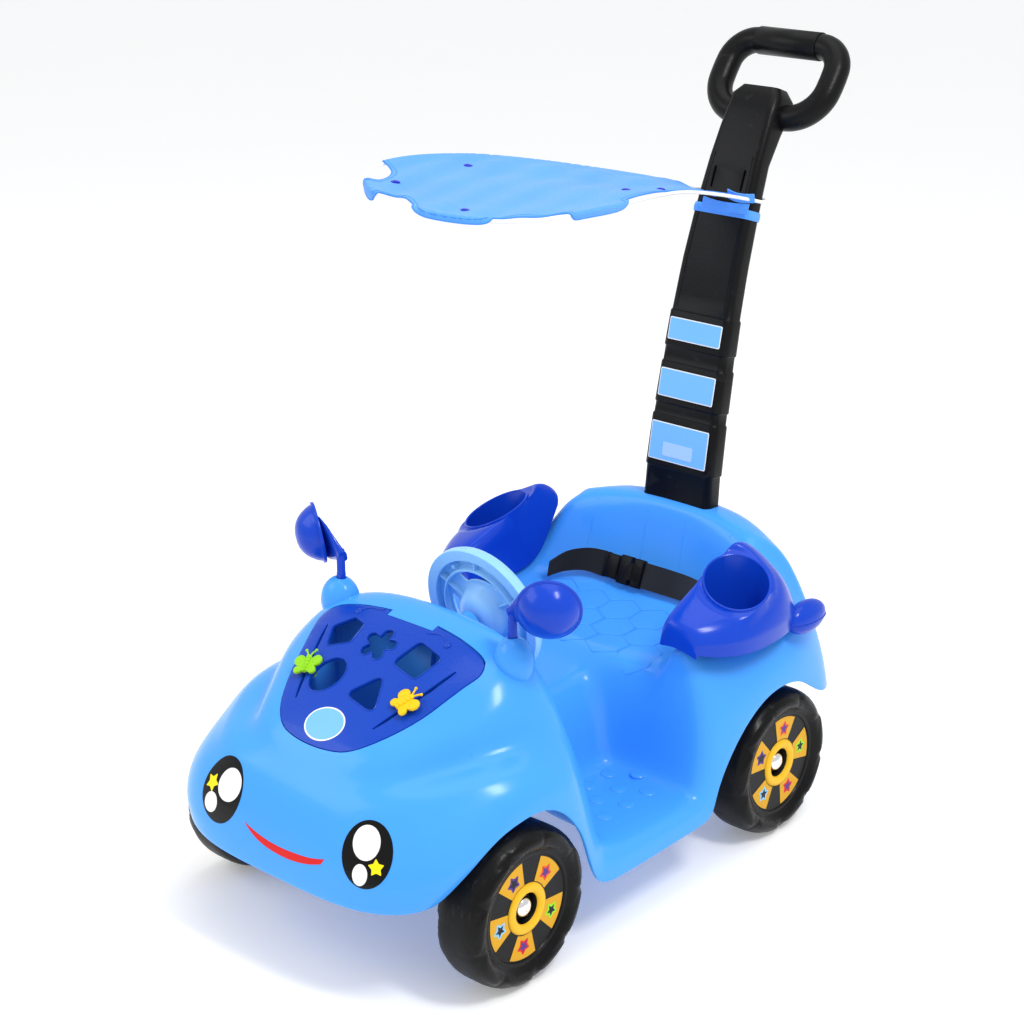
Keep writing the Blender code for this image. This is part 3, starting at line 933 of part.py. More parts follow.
def build_armrests():
    armrest = moulded_skin("armrest_left", ARMREST_SECTIONS, ROYAL_BLUE, ARMREST_WALL)
    middle = at_axle(*CUP_CENTRE)
    join(armrest, slanted_well(middle), ellipsoid("tail_knob", KNOB_RADII, at_axle(*KNOB_CENTRE)))
    cut(armrest, cylinder("cup_space", CUP_RADIUS - CUP_WALL, 0.160,
                          (middle.x, middle.y, CUP_FLOOR + CUP_WALL + 0.080), (0, 0, 1), sides=24))
    armrest = as_mesh_object(armrest, ROYAL_BLUE)
    mirrored_copy(armrest, "armrest_right", ROYAL_BLUE)


# Push pole and ring handle

def rounded_ring(y, z, half_width, half_depth, corner, lean):
    """Twelve points round a rounded rectangle, square to a line that leans back by that angle."""
    points = []
    for turn, (sign_x, sign_depth) in enumerate(((1, 1), (-1, 1), (-1, -1), (1, -1))):
        for step in range(3):
            angle = math.radians(90 * turn + 45 * step)
            x = sign_x * (half_width - corner) + corner * math.cos(angle)
            depth = sign_depth * (half_depth - corner) + corner * math.sin(angle)
            points.append(at_axle(x, y + depth * math.cos(lean), z - depth * math.sin(lean)))
    return points


def pole_at(z):
    """The pole's centre y, half width and lean at a height."""
    for index in range(len(POLE_LINE) - 1):
        low_y, low_z = POLE_LINE[index]
        high_y, high_z = POLE_LINE[index + 1]
        if z <= high_z:
            break
    t = (z - low_z) / (high_z - low_z)
    width = POLE_HALF_WIDTHS[index] * (1 - t) + POLE_HALF_WIDTHS[index + 1] * t
    return low_y + (high_y - low_y) * t, width, math.atan2(high_y - low_y, high_z - low_z)


def pole_ring(z, growth):
    y, width, lean = pole_at(z)
    return rounded_ring(y, z, width + growth, POLE_HALF_DEPTH + growth, POLE_CORNER + growth, lean)


def build_pole(body):
    rings = [pole_ring(z, -POLE_WALL) for z in (0.720, 0.600, 0.460, 0.330, POLE_FOOT)]
    rings += [pole_ring(z, 0.0) for z in (POLE_FOOT, 0.330)]
    for low, high in POLE_BANDS:
        rings += [pole_ring(low - 0.002, 0.0), pole_ring(low, BAND_RISE),
                  pole_ring(high, BAND_RISE), pole_ring(high + 0.002, 0.0)]
    rings += [pole_ring(z, 0.0) for z in (0.600, 0.665, 0.715)]
    rings += [rounded_ring(*section, RING_LEAN * 0.55) for section in POLE_HEAD]
    pole = loft("push_pole", rings, BLACK_PLASTIC)
    cut(pole, cylinder("ring_passage", RING_TUBE_RADIUS + 0.0006, 0.090, handle_point(0.0, -RING_HALF_HEIGHT),
                       (1, 0, 0), sides=24))
    y, width, lean = pole_at(SLIT_Z)
    for side in (-1, 1):
        cut(pole, box("pole_slit", SLIT_SIZE, at_axle(side * SLIT_X, y - POLE_HALF_DEPTH, SLIT_Z),
                      turn=Matrix.Rotation(-lean, 4, "X")))
    cut(body, loft("pole_socket", [pole_ring(z, 0.0006) for z in (0.290, 0.330, 0.365)], None))
    for index, (low, high) in enumerate(POLE_BANDS):
        low_y = pole_at(low)[0]
        high_y = pole_at(high)[0]
        lean = math.atan2(high_y - low_y, high - low)
        reach = POLE_HALF_DEPTH + BAND_RISE + 0.0011
        centre = at_axle(0.0, (low_y + high_y) / 2 - reach * math.cos(lean),
                         (low + high) / 2 + reach * math.sin(lean))
        size = (2 * LABEL_HALF_WIDTHS[index], LABEL_THICKNESS, high - low - 2 * LABEL_MARGIN)
        box(f"pole_label_{index + 1}", size, centre, LABEL_BLUE,
            turn=Matrix.Rotation(-lean, 4, "X"))


def handle_point(u, v):
    """A point of the ring handle's plane: sideways, and up the lean from its middle."""
    return at_axle(0.0, *RING_CENTRE) + Vector((u, v * math.sin(RING_LEAN), v * math.cos(RING_LEAN)))


def build_handle():
    """A closed ring of tube, rounder below than above, and a grip sleeve round its straight top."""
    points = []
    for turn, (sign_u, sign_v) in enumerate(((1, 1), (-1, 1), (-1, -1), (1, -1))):
        corner = RING_TOP_CORNER if sign_v > 0 else RING_LOW_CORNER
        for step in range(6):
            angle = math.radians(90 * turn + 18 * step)
            points.append(handle_point(sign_u * (RING_HALF_WIDTH - corner) + corner * math.cos(angle),
                                       sign_v * (RING_HALF_HEIGHT - corner) + corner * math.sin(angle)))
    closed_tube("push_handle", points, RING_TUBE_RADIUS, BLACK_PLASTIC, 3)
    face_along(turned("handle_grip", GRIP_PROFILE, BLACK_PLASTIC, 20, closed=True),
               handle_point(0.0, RING_HALF_HEIGHT), (1, 0, 0))


# Canopy

def hoop_frame():
    forward = Vector((math.sin(HOOP_YAW) * math.cos(HOOP_PITCH), -math.cos(HOOP_YAW) * math.cos(HOOP_PITCH),
                      math.sin(HOOP_PITCH)))
    side = Vector((math.cos(HOOP_YAW), math.sin(HOOP_YAW), 0.0))
    return forward, side, -side.cross(forward)


def hoop_point(along, across, lift=0.0):
    """A point of the canopy surface: forward from the pole, sideways, and above the cloth."""
    forward, side, up = hoop_frame()
    share = max(0.0, along / HOOP_HALF_OUTLINE[-1][0])
    twist = HOOP_TWIST * min(1.0, share / 0.6)
    turned_side = side * math.cos(twist) - up * math.sin(twist)
    crown = HOOP_CROWN * 4.0 * share * (1.0 - share)
    return at_axle(0.0, *HOOP_ORIGIN) + forward * along + turned_side * across + up * (crown + lift)


def hoop_half_width(along):
    for (low, low_width), (high, high_width) in zip(HOOP_HALF_OUTLINE, HOOP_HALF_OUTLINE[1:]):
        if along <= high:
            break
    return low_width + (high_width - low_width) * (along - low) / (high - low)


def build_canopy():
    left = [hoop_point(along, across) for along, across in HOOP_HALF_OUTLINE]
    right = [hoop_point(along, -across) for along, across in reversed(HOOP_HALF_OUTLINE[1:-1])]
    closed_tube("canopy_hoop", left + right, HOOP_RADIUS, WHITE_WIRE, 1, "BEZIER")

    rows = []
    for along in CLOTH_ROWS:
        width = hoop_half_width(along) - CLOTH_INSET
        shares = [2 * step / CLOTH_COLUMNS - 1 for step in range(CLOTH_COLUMNS + 1)]
        rows.append([hoop_point(along, width * share) for share in shares])
    cloth = open_skin("canopy_cloth", rows, CANOPY_BLUE)
    thickness = cloth.modifiers.new("thickness", "SOLIDIFY")
    thickness.thickness = CLOTH_THICKNESS
    thickness.offset = 0.0

    up = hoop_frame()[2]
    for index, (along, across) in enumerate(SNAP_SPOTS):
        centre = hoop_point(along, across, SNAP_LIFT)
        cylinder(f"canopy_snap_{index + 1}", SNAP_RADIUS, SNAP_THICKNESS, centre, up, SNAP_BLUE, 12)

    top = STRAP_FOOT + STRAP_HEIGHT
    loft("canopy_strap", [pole_ring(STRAP_FOOT, 0.0020), pole_ring(top, 0.0020),
                          pole_ring(top, 0.0007), pole_ring(STRAP_FOOT, 0.0007)], CANOPY_BLUE, endless=True)


# Lap belt

def ribbon(name, line, look):
    """A flat band through stations of (x, lower y, lower z, upper y, upper z)."""
    rings = []
    for x, low_y, low_z, high_y, high_z in line:
        low = at_axle(x, low_y, low_z)
        high = at_axle(x, high_y, high_z)
        out = Vector((0.0, low.z - high.z, high.y - low.y)).normalized() * WEBBING_THICKNESS / 2
        rings.append([low + out, high + out, high - out, low - out])
    return loft(name, rings, look)


def build_belt():
    ribbon("belt_strap_left", BELT_LEFT, BLACK_WEBBING)
    ribbon("belt_strap_right", BELT_RIGHT, BLACK_WEBBING)
    lean = Matrix.Rotation(math.radians(-22), 4, "X")
    box("buckle_socket", SOCKET_SIZE, at_axle(*SOCKET_PLACE), BLACK_PLASTIC, BUCKLE_ROUNDING, lean)
    box("buckle_tongue", TONGUE_SIZE, at_axle(*TONGUE_PLACE), BLACK_PLASTIC, BUCKLE_ROUNDING, lean)


clear_scene()
PARTS = new_collection("ride_on_car")
CUTTERS = new_collection("cutters")
body = moulded_skin("body_shell", BODY_SECTIONS, LIGHT_BLUE, BODY_WALL, both_halves=True)
surface = Bonnet(body)
build_bin(body, surface)
build_lid(surface)
build_butterfly("left", YELLOW, 1, surface)
build_butterfly("right", GREEN, -1, surface)
build_wheels()
axle_posts(body, surface)
build_steering(body)
build_mirrors(body)
build_armrests()
build_pole(body)
build_handle()
build_canopy()
build_belt()
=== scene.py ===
import json
import math

import bpy
from mathutils import Matrix, Vector
from mathutils.bvhtree import BVHTree


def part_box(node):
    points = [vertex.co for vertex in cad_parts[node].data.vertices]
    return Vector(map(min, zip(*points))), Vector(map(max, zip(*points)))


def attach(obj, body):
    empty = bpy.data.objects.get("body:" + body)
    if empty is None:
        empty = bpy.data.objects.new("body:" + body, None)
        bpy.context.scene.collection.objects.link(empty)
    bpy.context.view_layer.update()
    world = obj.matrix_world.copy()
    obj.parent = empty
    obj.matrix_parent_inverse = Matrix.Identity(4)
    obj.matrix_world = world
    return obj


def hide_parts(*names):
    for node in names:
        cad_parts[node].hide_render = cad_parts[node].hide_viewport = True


# The looks of a push-along ride-on car: every finish and visible surface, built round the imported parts.
# Metres, +Z up. The car faces -Y and its left side is +X. Body points count y from the front axle.

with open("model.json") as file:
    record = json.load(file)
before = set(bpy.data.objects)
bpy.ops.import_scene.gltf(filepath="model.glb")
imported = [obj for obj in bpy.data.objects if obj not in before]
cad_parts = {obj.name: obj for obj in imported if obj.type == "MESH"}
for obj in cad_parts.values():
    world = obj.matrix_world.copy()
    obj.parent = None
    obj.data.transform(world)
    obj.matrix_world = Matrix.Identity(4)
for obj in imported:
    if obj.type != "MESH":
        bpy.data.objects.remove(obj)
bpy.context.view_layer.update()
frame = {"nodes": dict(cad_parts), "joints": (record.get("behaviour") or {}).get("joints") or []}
JOINTS = {joint["name"]: joint for joint in frame["joints"]}


def middle_of(node):
    low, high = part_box(node)
    return (low + high) / 2


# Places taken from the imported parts
AXLE_Y = middle_of("front_axle").y
REAR_AXLE_Y = middle_of("rear_axle").y
WHEEL_RADIUS = middle_of("front_axle").z
WHEEL_MIDDLE = middle_of("wheel_front_left").x
STEERING_CENTRE = Vector(JOINTS["hand_wheel_spin"]["pos_m"])
STEERING_AXIS = Vector(JOINTS["hand_wheel_spin"]["axis"]).normalized()
MIRROR_FOOT = Vector(JOINTS["left_mirror_swivel"]["pos_m"])

# Body and lid
BODY_WALL = 0.0035
BODY_SMOOTHING = 2
LID_FRONT = (-0.0880, 0.2390)
LID_REAR = (0.0500, 0.3210)
LID_THICKNESS = 0.0035
LID_HALF = [(0.0, -0.0080), (0.0250, -0.0060), (0.0450, 0.0), (0.0620, 0.0140), (0.0780, 0.0370),
            (0.0920, 0.0660), (0.1020, 0.0960), (0.1090, 0.1180), (0.1125, 0.1290), (0.1130, 0.1370),
            (0.1100, 0.1460), (0.1030, 0.1520), (0.0920, 0.1560), (0.0700, 0.1610), (0.0500, 0.1640),
            (0.0330, 0.1660), (0.0330, 0.1586)]
NOTCH_FRONT = LID_HALF[-1][1]
LID_SHELF = 0.1480
LID_CLEARANCE = 0.0010
REAR_EASE = 0.0013
PENTAGON = [(-0.0694, 0.1011), (-0.0449, 0.1129), (-0.0470, 0.1386), (-0.0640, 0.1430), (-0.0818, 0.1244)]
STAR_CENTRE = (-0.0105, 0.1220)
SQUARE = [(0.0205, 0.1075), (0.0585, 0.0990), (0.0680, 0.1330), (0.0310, 0.1420)]
OVAL_CENTRE = (-0.0400, 0.0690)
TRIANGLE = [(-0.0030, 0.0560), (0.0440, 0.0470), (0.0230, 0.0910)]
SLOT_BOTTOM = (0.0553, 0.0324)
SLOT_TOP = (0.0914, 0.1253)
SLOT_WIDTH = 0.0040
SLOT_BOW = 0.0016
BUTTERFLY_REST = 0.42
BUTTERFLY_LIFT = 0.0030
WING_THICKNESS = 0.0034
# Half of the wings' edge, then (sideways, up, radius) of the lobes and (up, radius) of the body's beads
WING_HALF = [(0.0, -0.0120), (0.0035, -0.0108), (0.0052, -0.0125), (0.0085, -0.0138), (0.0117, -0.0128),
             (0.0130, -0.0098), (0.0120, -0.0066), (0.0093, -0.0040), (0.0120, -0.0032), (0.0150, -0.0008),
             (0.0162, 0.0030), (0.0150, 0.0072), (0.0118, 0.0098), (0.0080, 0.0098), (0.0052, 0.0078),
             (0.0035, 0.0062), (0.0, 0.0075)]
WING_LOBES = [(0.0086, -0.0088, 0.0040), (0.0104, 0.0034, 0.0052)]
BODY_BEADS = [(-0.0100, 0.0022), (-0.0060, 0.0027), (-0.0018, 0.0030), (0.0026, 0.0030), (0.0068, 0.0034)]
STEM_SIZE = (SLOT_WIDTH - 0.0020, 0.0046, 0.0130)
BADGE_CENTRE = (0.0010, 0.0172)
BADGE_RADII = (0.0245, 0.0198)
BADGE_BORDER = 0.0017
HINGE_BLOBS = [((-0.0673, 0.1515), (-0.0605, 0.1597), (-0.0398, 0.1640)),
               ((0.0615, 0.1490), (0.0470, 0.1580), (0.0300, 0.1545))]
BIN_FLOOR = 0.1420
BIN_WALL = 0.0025
BIN_NARROWING = 0.80
BIN_INNER_NARROWING = 0.78
BIN_LIP = 0.0015
OPENING_REACH = 0.020
LEDGE_WIDTH = 0.0040
OVERLAP = 0.0003
RIM_INSET = 0.0010
RIM_RADIUS = 0.0007
BIN_CENTRE_Y = AXLE_Y - 0.0150
LID_HINGE = Vector(JOINTS["lid_hinge"]["pos_m"])
POST_INNER = 0.1342
POST_OUTER = 0.1502
POST_HALF_DEPTH = 0.0090
POST_FOOT = 0.0760
FRONT_POST_DEPTH = 0.0056
REAR_POST_DEPTH = 0.0026
STUD_SPOTS = [(0.098, 0.259), (0.098, 0.223), (0.127, 0.276), (0.127, 0.241), (0.127, 0.205), (0.127, 0.169),
              (0.156, 0.256), (0.156, 0.219), (0.156, 0.181)]
STUD_PROFILE = [(0.0, 0.0012), (0.0070, 0.0011), (0.0088, 0.0007), (0.0098, -0.0004), (0.0098, -0.0030)]
CELL_ROWS = (0.318, 0.357, 0.396)
CELL_PITCH = 0.046
CELL_RADIUS = 0.0255
CELLS_HALF_WIDTH = 0.098
BORE_RADIUS = 0.0043
BORE_LENGTH = 0.3300
MIRROR_SEAT_RADII = (0.0220, 0.0205, 0.0270)
MIRROR_SEAT_DROP = 0.0265
MIRROR_SOCKET_RADIUS = 0.0056
MIRROR_SOCKET_DEPTH = 0.0300
BACK_RIBS = [-0.097, -0.028, 0.028, 0.097]
BACK_RIB_HEIGHTS = [0.252, 0.272, 0.295, 0.318]
FILM_THICKNESS = 0.0002
FACE_HEIGHT = 0.0212
FRONT_PHASE = 0.750
REAR_PHASE = 0.155
MIRROR_NECK = [(-0.10, 0.0070, 0.0046), (0.06, 0.0100, 0.0045), (0.30, 0.0180, 0.0038),
               (0.56, 0.0265, 0.0030), (0.80, 0.0300, 0.0018), (0.95, 0.0280, 0.0012)]
# The hollow between the bonnet and the fenders, as points on the skin with its depth there
VALLEY = [(0.0, -0.112, 0.209, 0.0012), (0.043, -0.107, 0.2125, 0.0018), (0.075, -0.097, 0.215, 0.0035),
          (0.107, -0.074, 0.221, 0.0062), (0.131, -0.037, 0.229, 0.0065), (0.149, -0.004, 0.236, 0.0050),
          (0.160, 0.027, 0.240, 0.0035), (0.165, 0.060, 0.243, 0.0020), (0.167, 0.084, 0.242, 0.0010)]
VALLEY_WIDTH = 0.0125
SHOULDER = 0.0310
SHOULDER_RISE = 0.30
SECTION_POINTS = 10
CREASED_SECTIONS = {27: 0.35, 28: 0.20}

# The face: each shape as (kind, (sideways, up) from the eye's middle, radii, turn)
EYES = [
    ("left", (0.1075, -0.1175, 0.1590), (0.0453, 0.0264, 0.0), (-0.0080, 0.0210, 0.0634), [
        ("eye", (0.0, 0.0), (0.0268, 0.0330), math.radians(-6)),
        ("glint", (-0.0015, 0.0112), (0.0145, 0.0170), math.radians(-6)),
        ("glint", (-0.0058, -0.0200), (0.0082, 0.0107), math.radians(-4)),
        ("star", (0.0110, -0.0110), (0.0090, 0.0050), math.radians(96))]),
    ("right", (-0.0890, -0.1270, 0.1635), (0.0453, -0.0264, 0.0), (0.0080, 0.0210, 0.0634), [
        ("eye", (0.0, 0.0), (0.0300, 0.0352), math.radians(6)),
        ("glint", (0.0085, 0.0095), (0.0165, 0.0175), math.radians(2)),
        ("glint", (-0.0075, -0.0190), (0.0100, 0.0105), math.radians(4)),
        ("star", (-0.0165, -0.0010), (0.0105, 0.0056), math.radians(84))]),
]
SMILE_TOP = [(-0.0470, 0.1478), (-0.0290, 0.1436), (-0.0090, 0.1406), (0.0120, 0.1398), (0.0330, 0.1408),
             (0.0510, 0.1428), (0.0680, 0.1470)]
SMILE_BOTTOM = [(0.0640, 0.1408), (0.0485, 0.1358), (0.0285, 0.1324), (0.0090, 0.1318), (-0.0124, 0.1338),
                (-0.0305, 0.1390), (-0.0450, 0.1466)]

# Armrests
CUP_CENTRE = (0.1750, 0.3790, 0.3105)
CUP_LEAN = (0.345, -0.365, 1.0)
CUP_RADIUS = 0.0375
CUP_WALL = 0.0025
CUP_FLOOR = 0.2470
ARMREST_WALL = 0.0030
KNOB_CENTRE = (0.2045, 0.4720, 0.2500)
KNOB_RADII = (0.0150, 0.0330, 0.0190)

# Pole, ring handle and canopy
POLE_LINE = [(0.508, 0.235), (0.508, 0.330), (0.513, 0.390), (0.527, 0.460), (0.541, 0.530),
             (0.559, 0.600), (0.580, 0.665), (0.607, 0.735), (0.628, 0.778)]
POLE_HALF_WIDTHS = [0.0480, 0.0480, 0.0470, 0.0450, 0.0430, 0.0410, 0.0385, 0.0350, 0.0335]
POLE_HALF_DEPTH = 0.0135
POLE_CORNER = 0.0080
POLE_BANDS = [(0.368, 0.425), (0.441, 0.486), (0.506, 0.544)]
BAND_RISE = 0.0015
# A band's edge as (distance outside it, share of its rise)
BAND_STEPS = [(0.0022, 0.0), (0.0016, 0.25), (0.0004, 0.9), (0.0, 1.0)]
POLE_STATIONS = [0.565, 0.585, 0.605, 0.630, 0.655, 0.680, 0.700, 0.715]
LABEL_HALF_WIDTHS = [0.0410, 0.0390, 0.0370]
POLE_FOOT = 0.2360
CORNER_STEPS = 6
SLIT_Z = 0.6980
SLIT_X = 0.0205
SLIT_SIZE = (0.0026, 0.0080, 0.0240)
RIDGE_HEIGHTS = [0.550, 0.575, 0.600, 0.630, 0.665, 0.700, 0.720]
POLE_HEAD = [(0.619, 0.748, 0.0345, 0.0170, 0.0080), (0.631, 0.764, 0.0335, 0.0205, 0.0090),
             (0.641, 0.782, 0.0330, 0.0200, 0.0090), (0.645, 0.793, 0.0250, 0.0130, 0.0080)]
RING_LEAN = math.radians(35)
RING_TUBE_RADIUS = 0.0150
RING_CENTRE = (0.6655, 0.8005)
RING_HALF_WIDTH = 0.0740
RING_HALF_HEIGHT = 0.0460
RING_TOP_CORNER = 0.0310
RING_LOW_CORNER = 0.0420
GRIP_PROFILE = [(0.0163, 0.0417), (0.0163, -0.0417), (0.0160, -0.0420), (0.0150, -0.0420), (0.0150, 0.0420),
                (0.0160, 0.0420)]
HOOP_RADIUS = 0.0020
HOOP_ORIGIN = (0.5850, 0.6775)
HOOP_HALF_OUTLINE = [(-0.0240, 0.0), (-0.0225, 0.0260), (-0.0100, 0.0440), (0.0100, 0.0465), (0.0500, 0.0450),
                     (0.1250, 0.0510), (0.2100, 0.0800), (0.3000, 0.1080), (0.3850, 0.1210), (0.4470, 0.1050),
                     (0.4870, 0.0560), (0.4970, 0.0)]
HOOP_YAW = math.radians(-6.0)
HOOP_PITCH = math.radians(7.0)
HOOP_TWIST = math.radians(5.5)
HOOP_CROWN = 0.021
CLOTH_THICKNESS = 0.0012
CLOTH_SAG = 0.0040
FOLD_DEPTH = 0.0022
WRAP_TURN = math.radians(100)
HEM_RADIUS = 0.0010
HEM_WIDTH = 0.0045
STITCH_RADIUS = 0.0004
TAB_THICKNESS = 0.0014
WEBBING_THICKNESS = 0.0015
SNAP_SPOTS = [(0.4500, -0.0600), (0.4500, 0.0500), (0.3300, -0.0850), (0.2300, 0.0550), (0.1500, 0.0300)]
SNAP_PROFILE = [(0.0, 0.0018), (0.0024, 0.0017), (0.0034, 0.0012), (0.0038, 0.0011), (0.0046, 0.0009),
                (0.0049, 0.0004), (0.0049, -0.0006), (0.0, -0.0006)]
# The cloth's edge as (forward, sideways), round from the pole along the left side; lobes pass the wire
CLOTH_OUTLINE = [(0.0300, 0.0), (0.0320, 0.0300), (0.0440, 0.0400), (0.0900, 0.0405), (0.1500, 0.0500),
                 (0.2100, 0.0705), (0.2600, 0.0865), (0.2760, 0.1040), (0.2860, 0.1130), (0.3150, 0.1210),
                 (0.3500, 0.1270), (0.3700, 0.1280), (0.3790, 0.1180), (0.4000, 0.1060), (0.4350, 0.0950),
                 (0.4500, 0.0960), (0.4640, 0.0980), (0.4780, 0.0860), (0.4920, 0.0640), (0.5000, 0.0420),
                 (0.4980, 0.0260), (0.4860, 0.0120), (0.4800, -0.0080), (0.4840, -0.0240),
                 (0.4980, -0.0340), (0.5040, -0.0480), (0.4970, -0.0660), (0.4860, -0.0760),
                 (0.4640, -0.0740), (0.4430, -0.0800), (0.4260, -0.0960), (0.4200, -0.1180),
                 (0.4120, -0.1260), (0.3900, -0.1290), (0.3500, -0.1250), (0.3000, -0.1160),
                 (0.2400, -0.0970), (0.1800, -0.0780), (0.1250, -0.0590), (0.0800, -0.0530),
                 (0.0420, -0.0450), (0.0320, -0.0300)]
STRAP_FOOT = 0.6550
STRAP_HEIGHT = 0.0100
STRAP_TABS = [[(-0.0230, 0.5620, 0.6660), (0.0400, 0.5620, 0.6660), (0.0440, 0.5600, 0.6780),
               (-0.0200, 0.5600, 0.6780)],
              [(0.0160, 0.5590, 0.6810), (0.0500, 0.5620, 0.6800), (0.0500, 0.5600, 0.6900),
               (0.0160, 0.5560, 0.6920)]]

# Lap belt: stations of (x, lower y, lower z, upper y, upper z)
BELT_LEFT = [(-0.0003, 0.4345, 0.2400, 0.4465, 0.2680), (0.0500, 0.4340, 0.2405, 0.4450, 0.2685),
             (0.0850, 0.4270, 0.2430, 0.4350, 0.2700), (0.1080, 0.4080, 0.2420, 0.4140, 0.2680)]
BELT_RIGHT = [(-0.0585, 0.4345, 0.2400, 0.4465, 0.2680), (-0.0800, 0.4290, 0.2430, 0.4380, 0.2690),
              (-0.0980, 0.4130, 0.2420, 0.4190, 0.2660), (-0.1080, 0.3950, 0.2380, 0.3990, 0.2560)]

SOCKET_CENTRE = (-0.0180, 0.4405, 0.2540)
SOCKET_SIZE = (0.0340, 0.0090, 0.0340)
TONGUE_CENTRE = (-0.0465, 0.4405, 0.2540)
TONGUE_SIZE = (0.0200, 0.0065, 0.0290)
BUCKLE_LEAN = math.radians(-22)

# Camera, found from the wheels and the car's symmetry in the photograph
CAMERA_PLACE = (1.4503, -1.4300, 1.1885)
CAMERA_AZIMUTH = math.radians(41.496)
CAMERA_ELEVATION = math.radians(19.93)
CAMERA_ROLL = math.radians(0.147)
SENSOR = 36.0
FOCAL = 76.89

# Studio: each lamp as (name, place, size, power)
LAMPS = [("key", (1.30, -0.20, 2.10), (0.34, 0.62), 21.0), ("fill", (-1.40, -1.60, 1.70), (1.60, 1.20), 14.0),
         ("top", (0.0, 0.20, 2.60), (1.80, 1.80), 16.0)]
LAMP_AIM = (0.0, 0.0, 0.30)
ROOM_COLOUR = (0.98, 0.99, 1.0, 1.0)
ROOM_LIGHT = 0.78
FLOOR_RADIUS = 40.0


def at_axle(x, y, z):
    """A point whose y is counted from the front axle, in the world."""
    return Vector((x, y + AXLE_Y, z))


# Shader building

class Signal:
    """A node's output that takes arithmetic like a number."""

    def __init__(self, finish, socket):
        self.finish = finish
        self.socket = socket

    def maths(self, operation, first, second=0.0):
        return self.finish.node("Math", {"operation": operation}, {0: first, 1: second})

    def __add__(self, other):
        return self.maths("ADD", self, other)

    __radd__ = __add__

    def __sub__(self, other):
        return self.maths("SUBTRACT", self, other)

    def __rsub__(self, other):
        return self.maths("SUBTRACT", other, self)

    def __mul__(self, other):
        return self.maths("MULTIPLY", self, other)

    __rmul__ = __mul__

    def __gt__(self, other):
        return self.maths("GREATER_THAN", self, other)

    def __pow__(self, other):
        return self.maths("POWER", self, other)

    def absolute(self):
        return self.maths("ABSOLUTE", self)

    def sine(self):
        return self.maths("SINE", self)


class Finish:
    """One material: its nodes, and the shader that they feed."""

    def __init__(self, name, colour, roughness, **constants):
        self.material = bpy.data.materials.new(name)
        self.material.use_nodes = True
        self.tree = self.material.node_tree
        self.shader = self.tree.nodes["Principled BSDF"]
        self.colour = (*colour, 1.0)
        self.roughness = roughness
        self.shader.inputs["Base Color"].default_value = self.colour
        self.shader.inputs["Roughness"].default_value = roughness
        for socket, value in constants.items():
            self.shader.inputs[socket.replace("_", " ")].default_value = value

    def feed(self, target, value):
        if isinstance(value, Signal):
            self.tree.links.new(value.socket, target)
        else:
            target.default_value = value

    def node(self, kind, settings, values, output=0):
        """Any node: its type, its settings, and the values or links of its sockets."""
        made = self.tree.nodes.new("ShaderNode" + kind)
        for name, value in settings.items():
            if name == "stops":
                for element, (position, shade) in zip(made.color_ramp.elements, value):
                    element.position = position
                    element.color = (*shade, 1.0)
            else:
                setattr(made, name, value)
        for socket, value in values.items():
            self.feed(made.inputs[socket], value)
        return Signal(self, made.outputs[output])

    def place(self, output="Object"):
        return self.node("TexCoord", {}, {}, output)

    def map_of(self, name):
        return self.node("UVMap", {"uv_map": name}, {})

    def scaled(self, place, scale, turn=(0.0, 0.0, 0.0)):
        return self.node("Mapping", {}, {"Vector": place, "Scale": scale, "Rotation": turn})

    def axis(self, place, letter):
        return self.node("SeparateXYZ", {}, {0: place}, letter)

    def noise(self, place, scale, detail=3.0, distortion=0.0):
        values = {"Vector": place, "Scale": scale, "Detail": detail, "Distortion": distortion}
        return self.node("TexNoise", {}, values)

    def cells(self, place, scale):
        return self.node("TexVoronoi", {"feature": "SMOOTH_F1"}, {"Vector": place, "Scale": scale})

    def mix(self, share, first, second):
        return self.node("Mix", {"data_type": "RGBA"}, {0: share, 6: first, 7: second}, 2)

    def shade(self, factor):
        """The finish's own colour, lighter or darker by a factor."""
        red, green, blue, alpha = self.colour
        return (min(1.0, red * factor), min(1.0, green * factor), min(1.0, blue * factor), alpha)

    def between(self, signal, low, high):
        """0 below low and 1 above high, with a soft step between them."""
        return self.node("MapRange", {"interpolation_type": "SMOOTHSTEP"},
                         {"Value": signal, "From Min": low, "From Max": high})

    def paint(self, value):
        self.feed(self.shader.inputs["Base Color"], value)

    def roughen(self, value):
        self.feed(self.shader.inputs["Roughness"], value)

    def emboss(self, height, distance, strength=1.0):
        bump = self.node("Bump", {}, {"Height": height, "Distance": distance, "Strength": strength})
        self.feed(self.shader.inputs["Normal"], bump)


def moulded_plastic(name, colour, roughness, ripple=0.00010, scuffed=0.06):
    """Glossy blow-moulded plastic: slow waves of the mould, faint clouding and a few fine rubs."""
    finish = Finish(name, colour, roughness, Specular_IOR_Level=0.22, Coat_Weight=0.05, Coat_Roughness=0.08)
    place = finish.place()
    clouds = finish.noise(place, 7.0, 3.0)
    skin = finish.noise(place, 90.0, 2.0)
    rubs = finish.noise(finish.scaled(place, (60.0, 420.0, 60.0), (0.4, 0.3, 0.7)), 1.0, 4.0, 0.6)
    rubbed = finish.between(rubs, 0.62, 0.74)
    tone = finish.mix(clouds, finish.shade(0.94), finish.shade(1.05))
    finish.paint(finish.mix(rubbed * scuffed, tone, finish.shade(1.35)))
    finish.roughen(roughness + skin * 0.04 + clouds * 0.04 + rubbed * scuffed)
    finish.emboss(clouds * 0.6 + skin * 0.15 + rubbed * 0.01, ripple)
    return finish.material


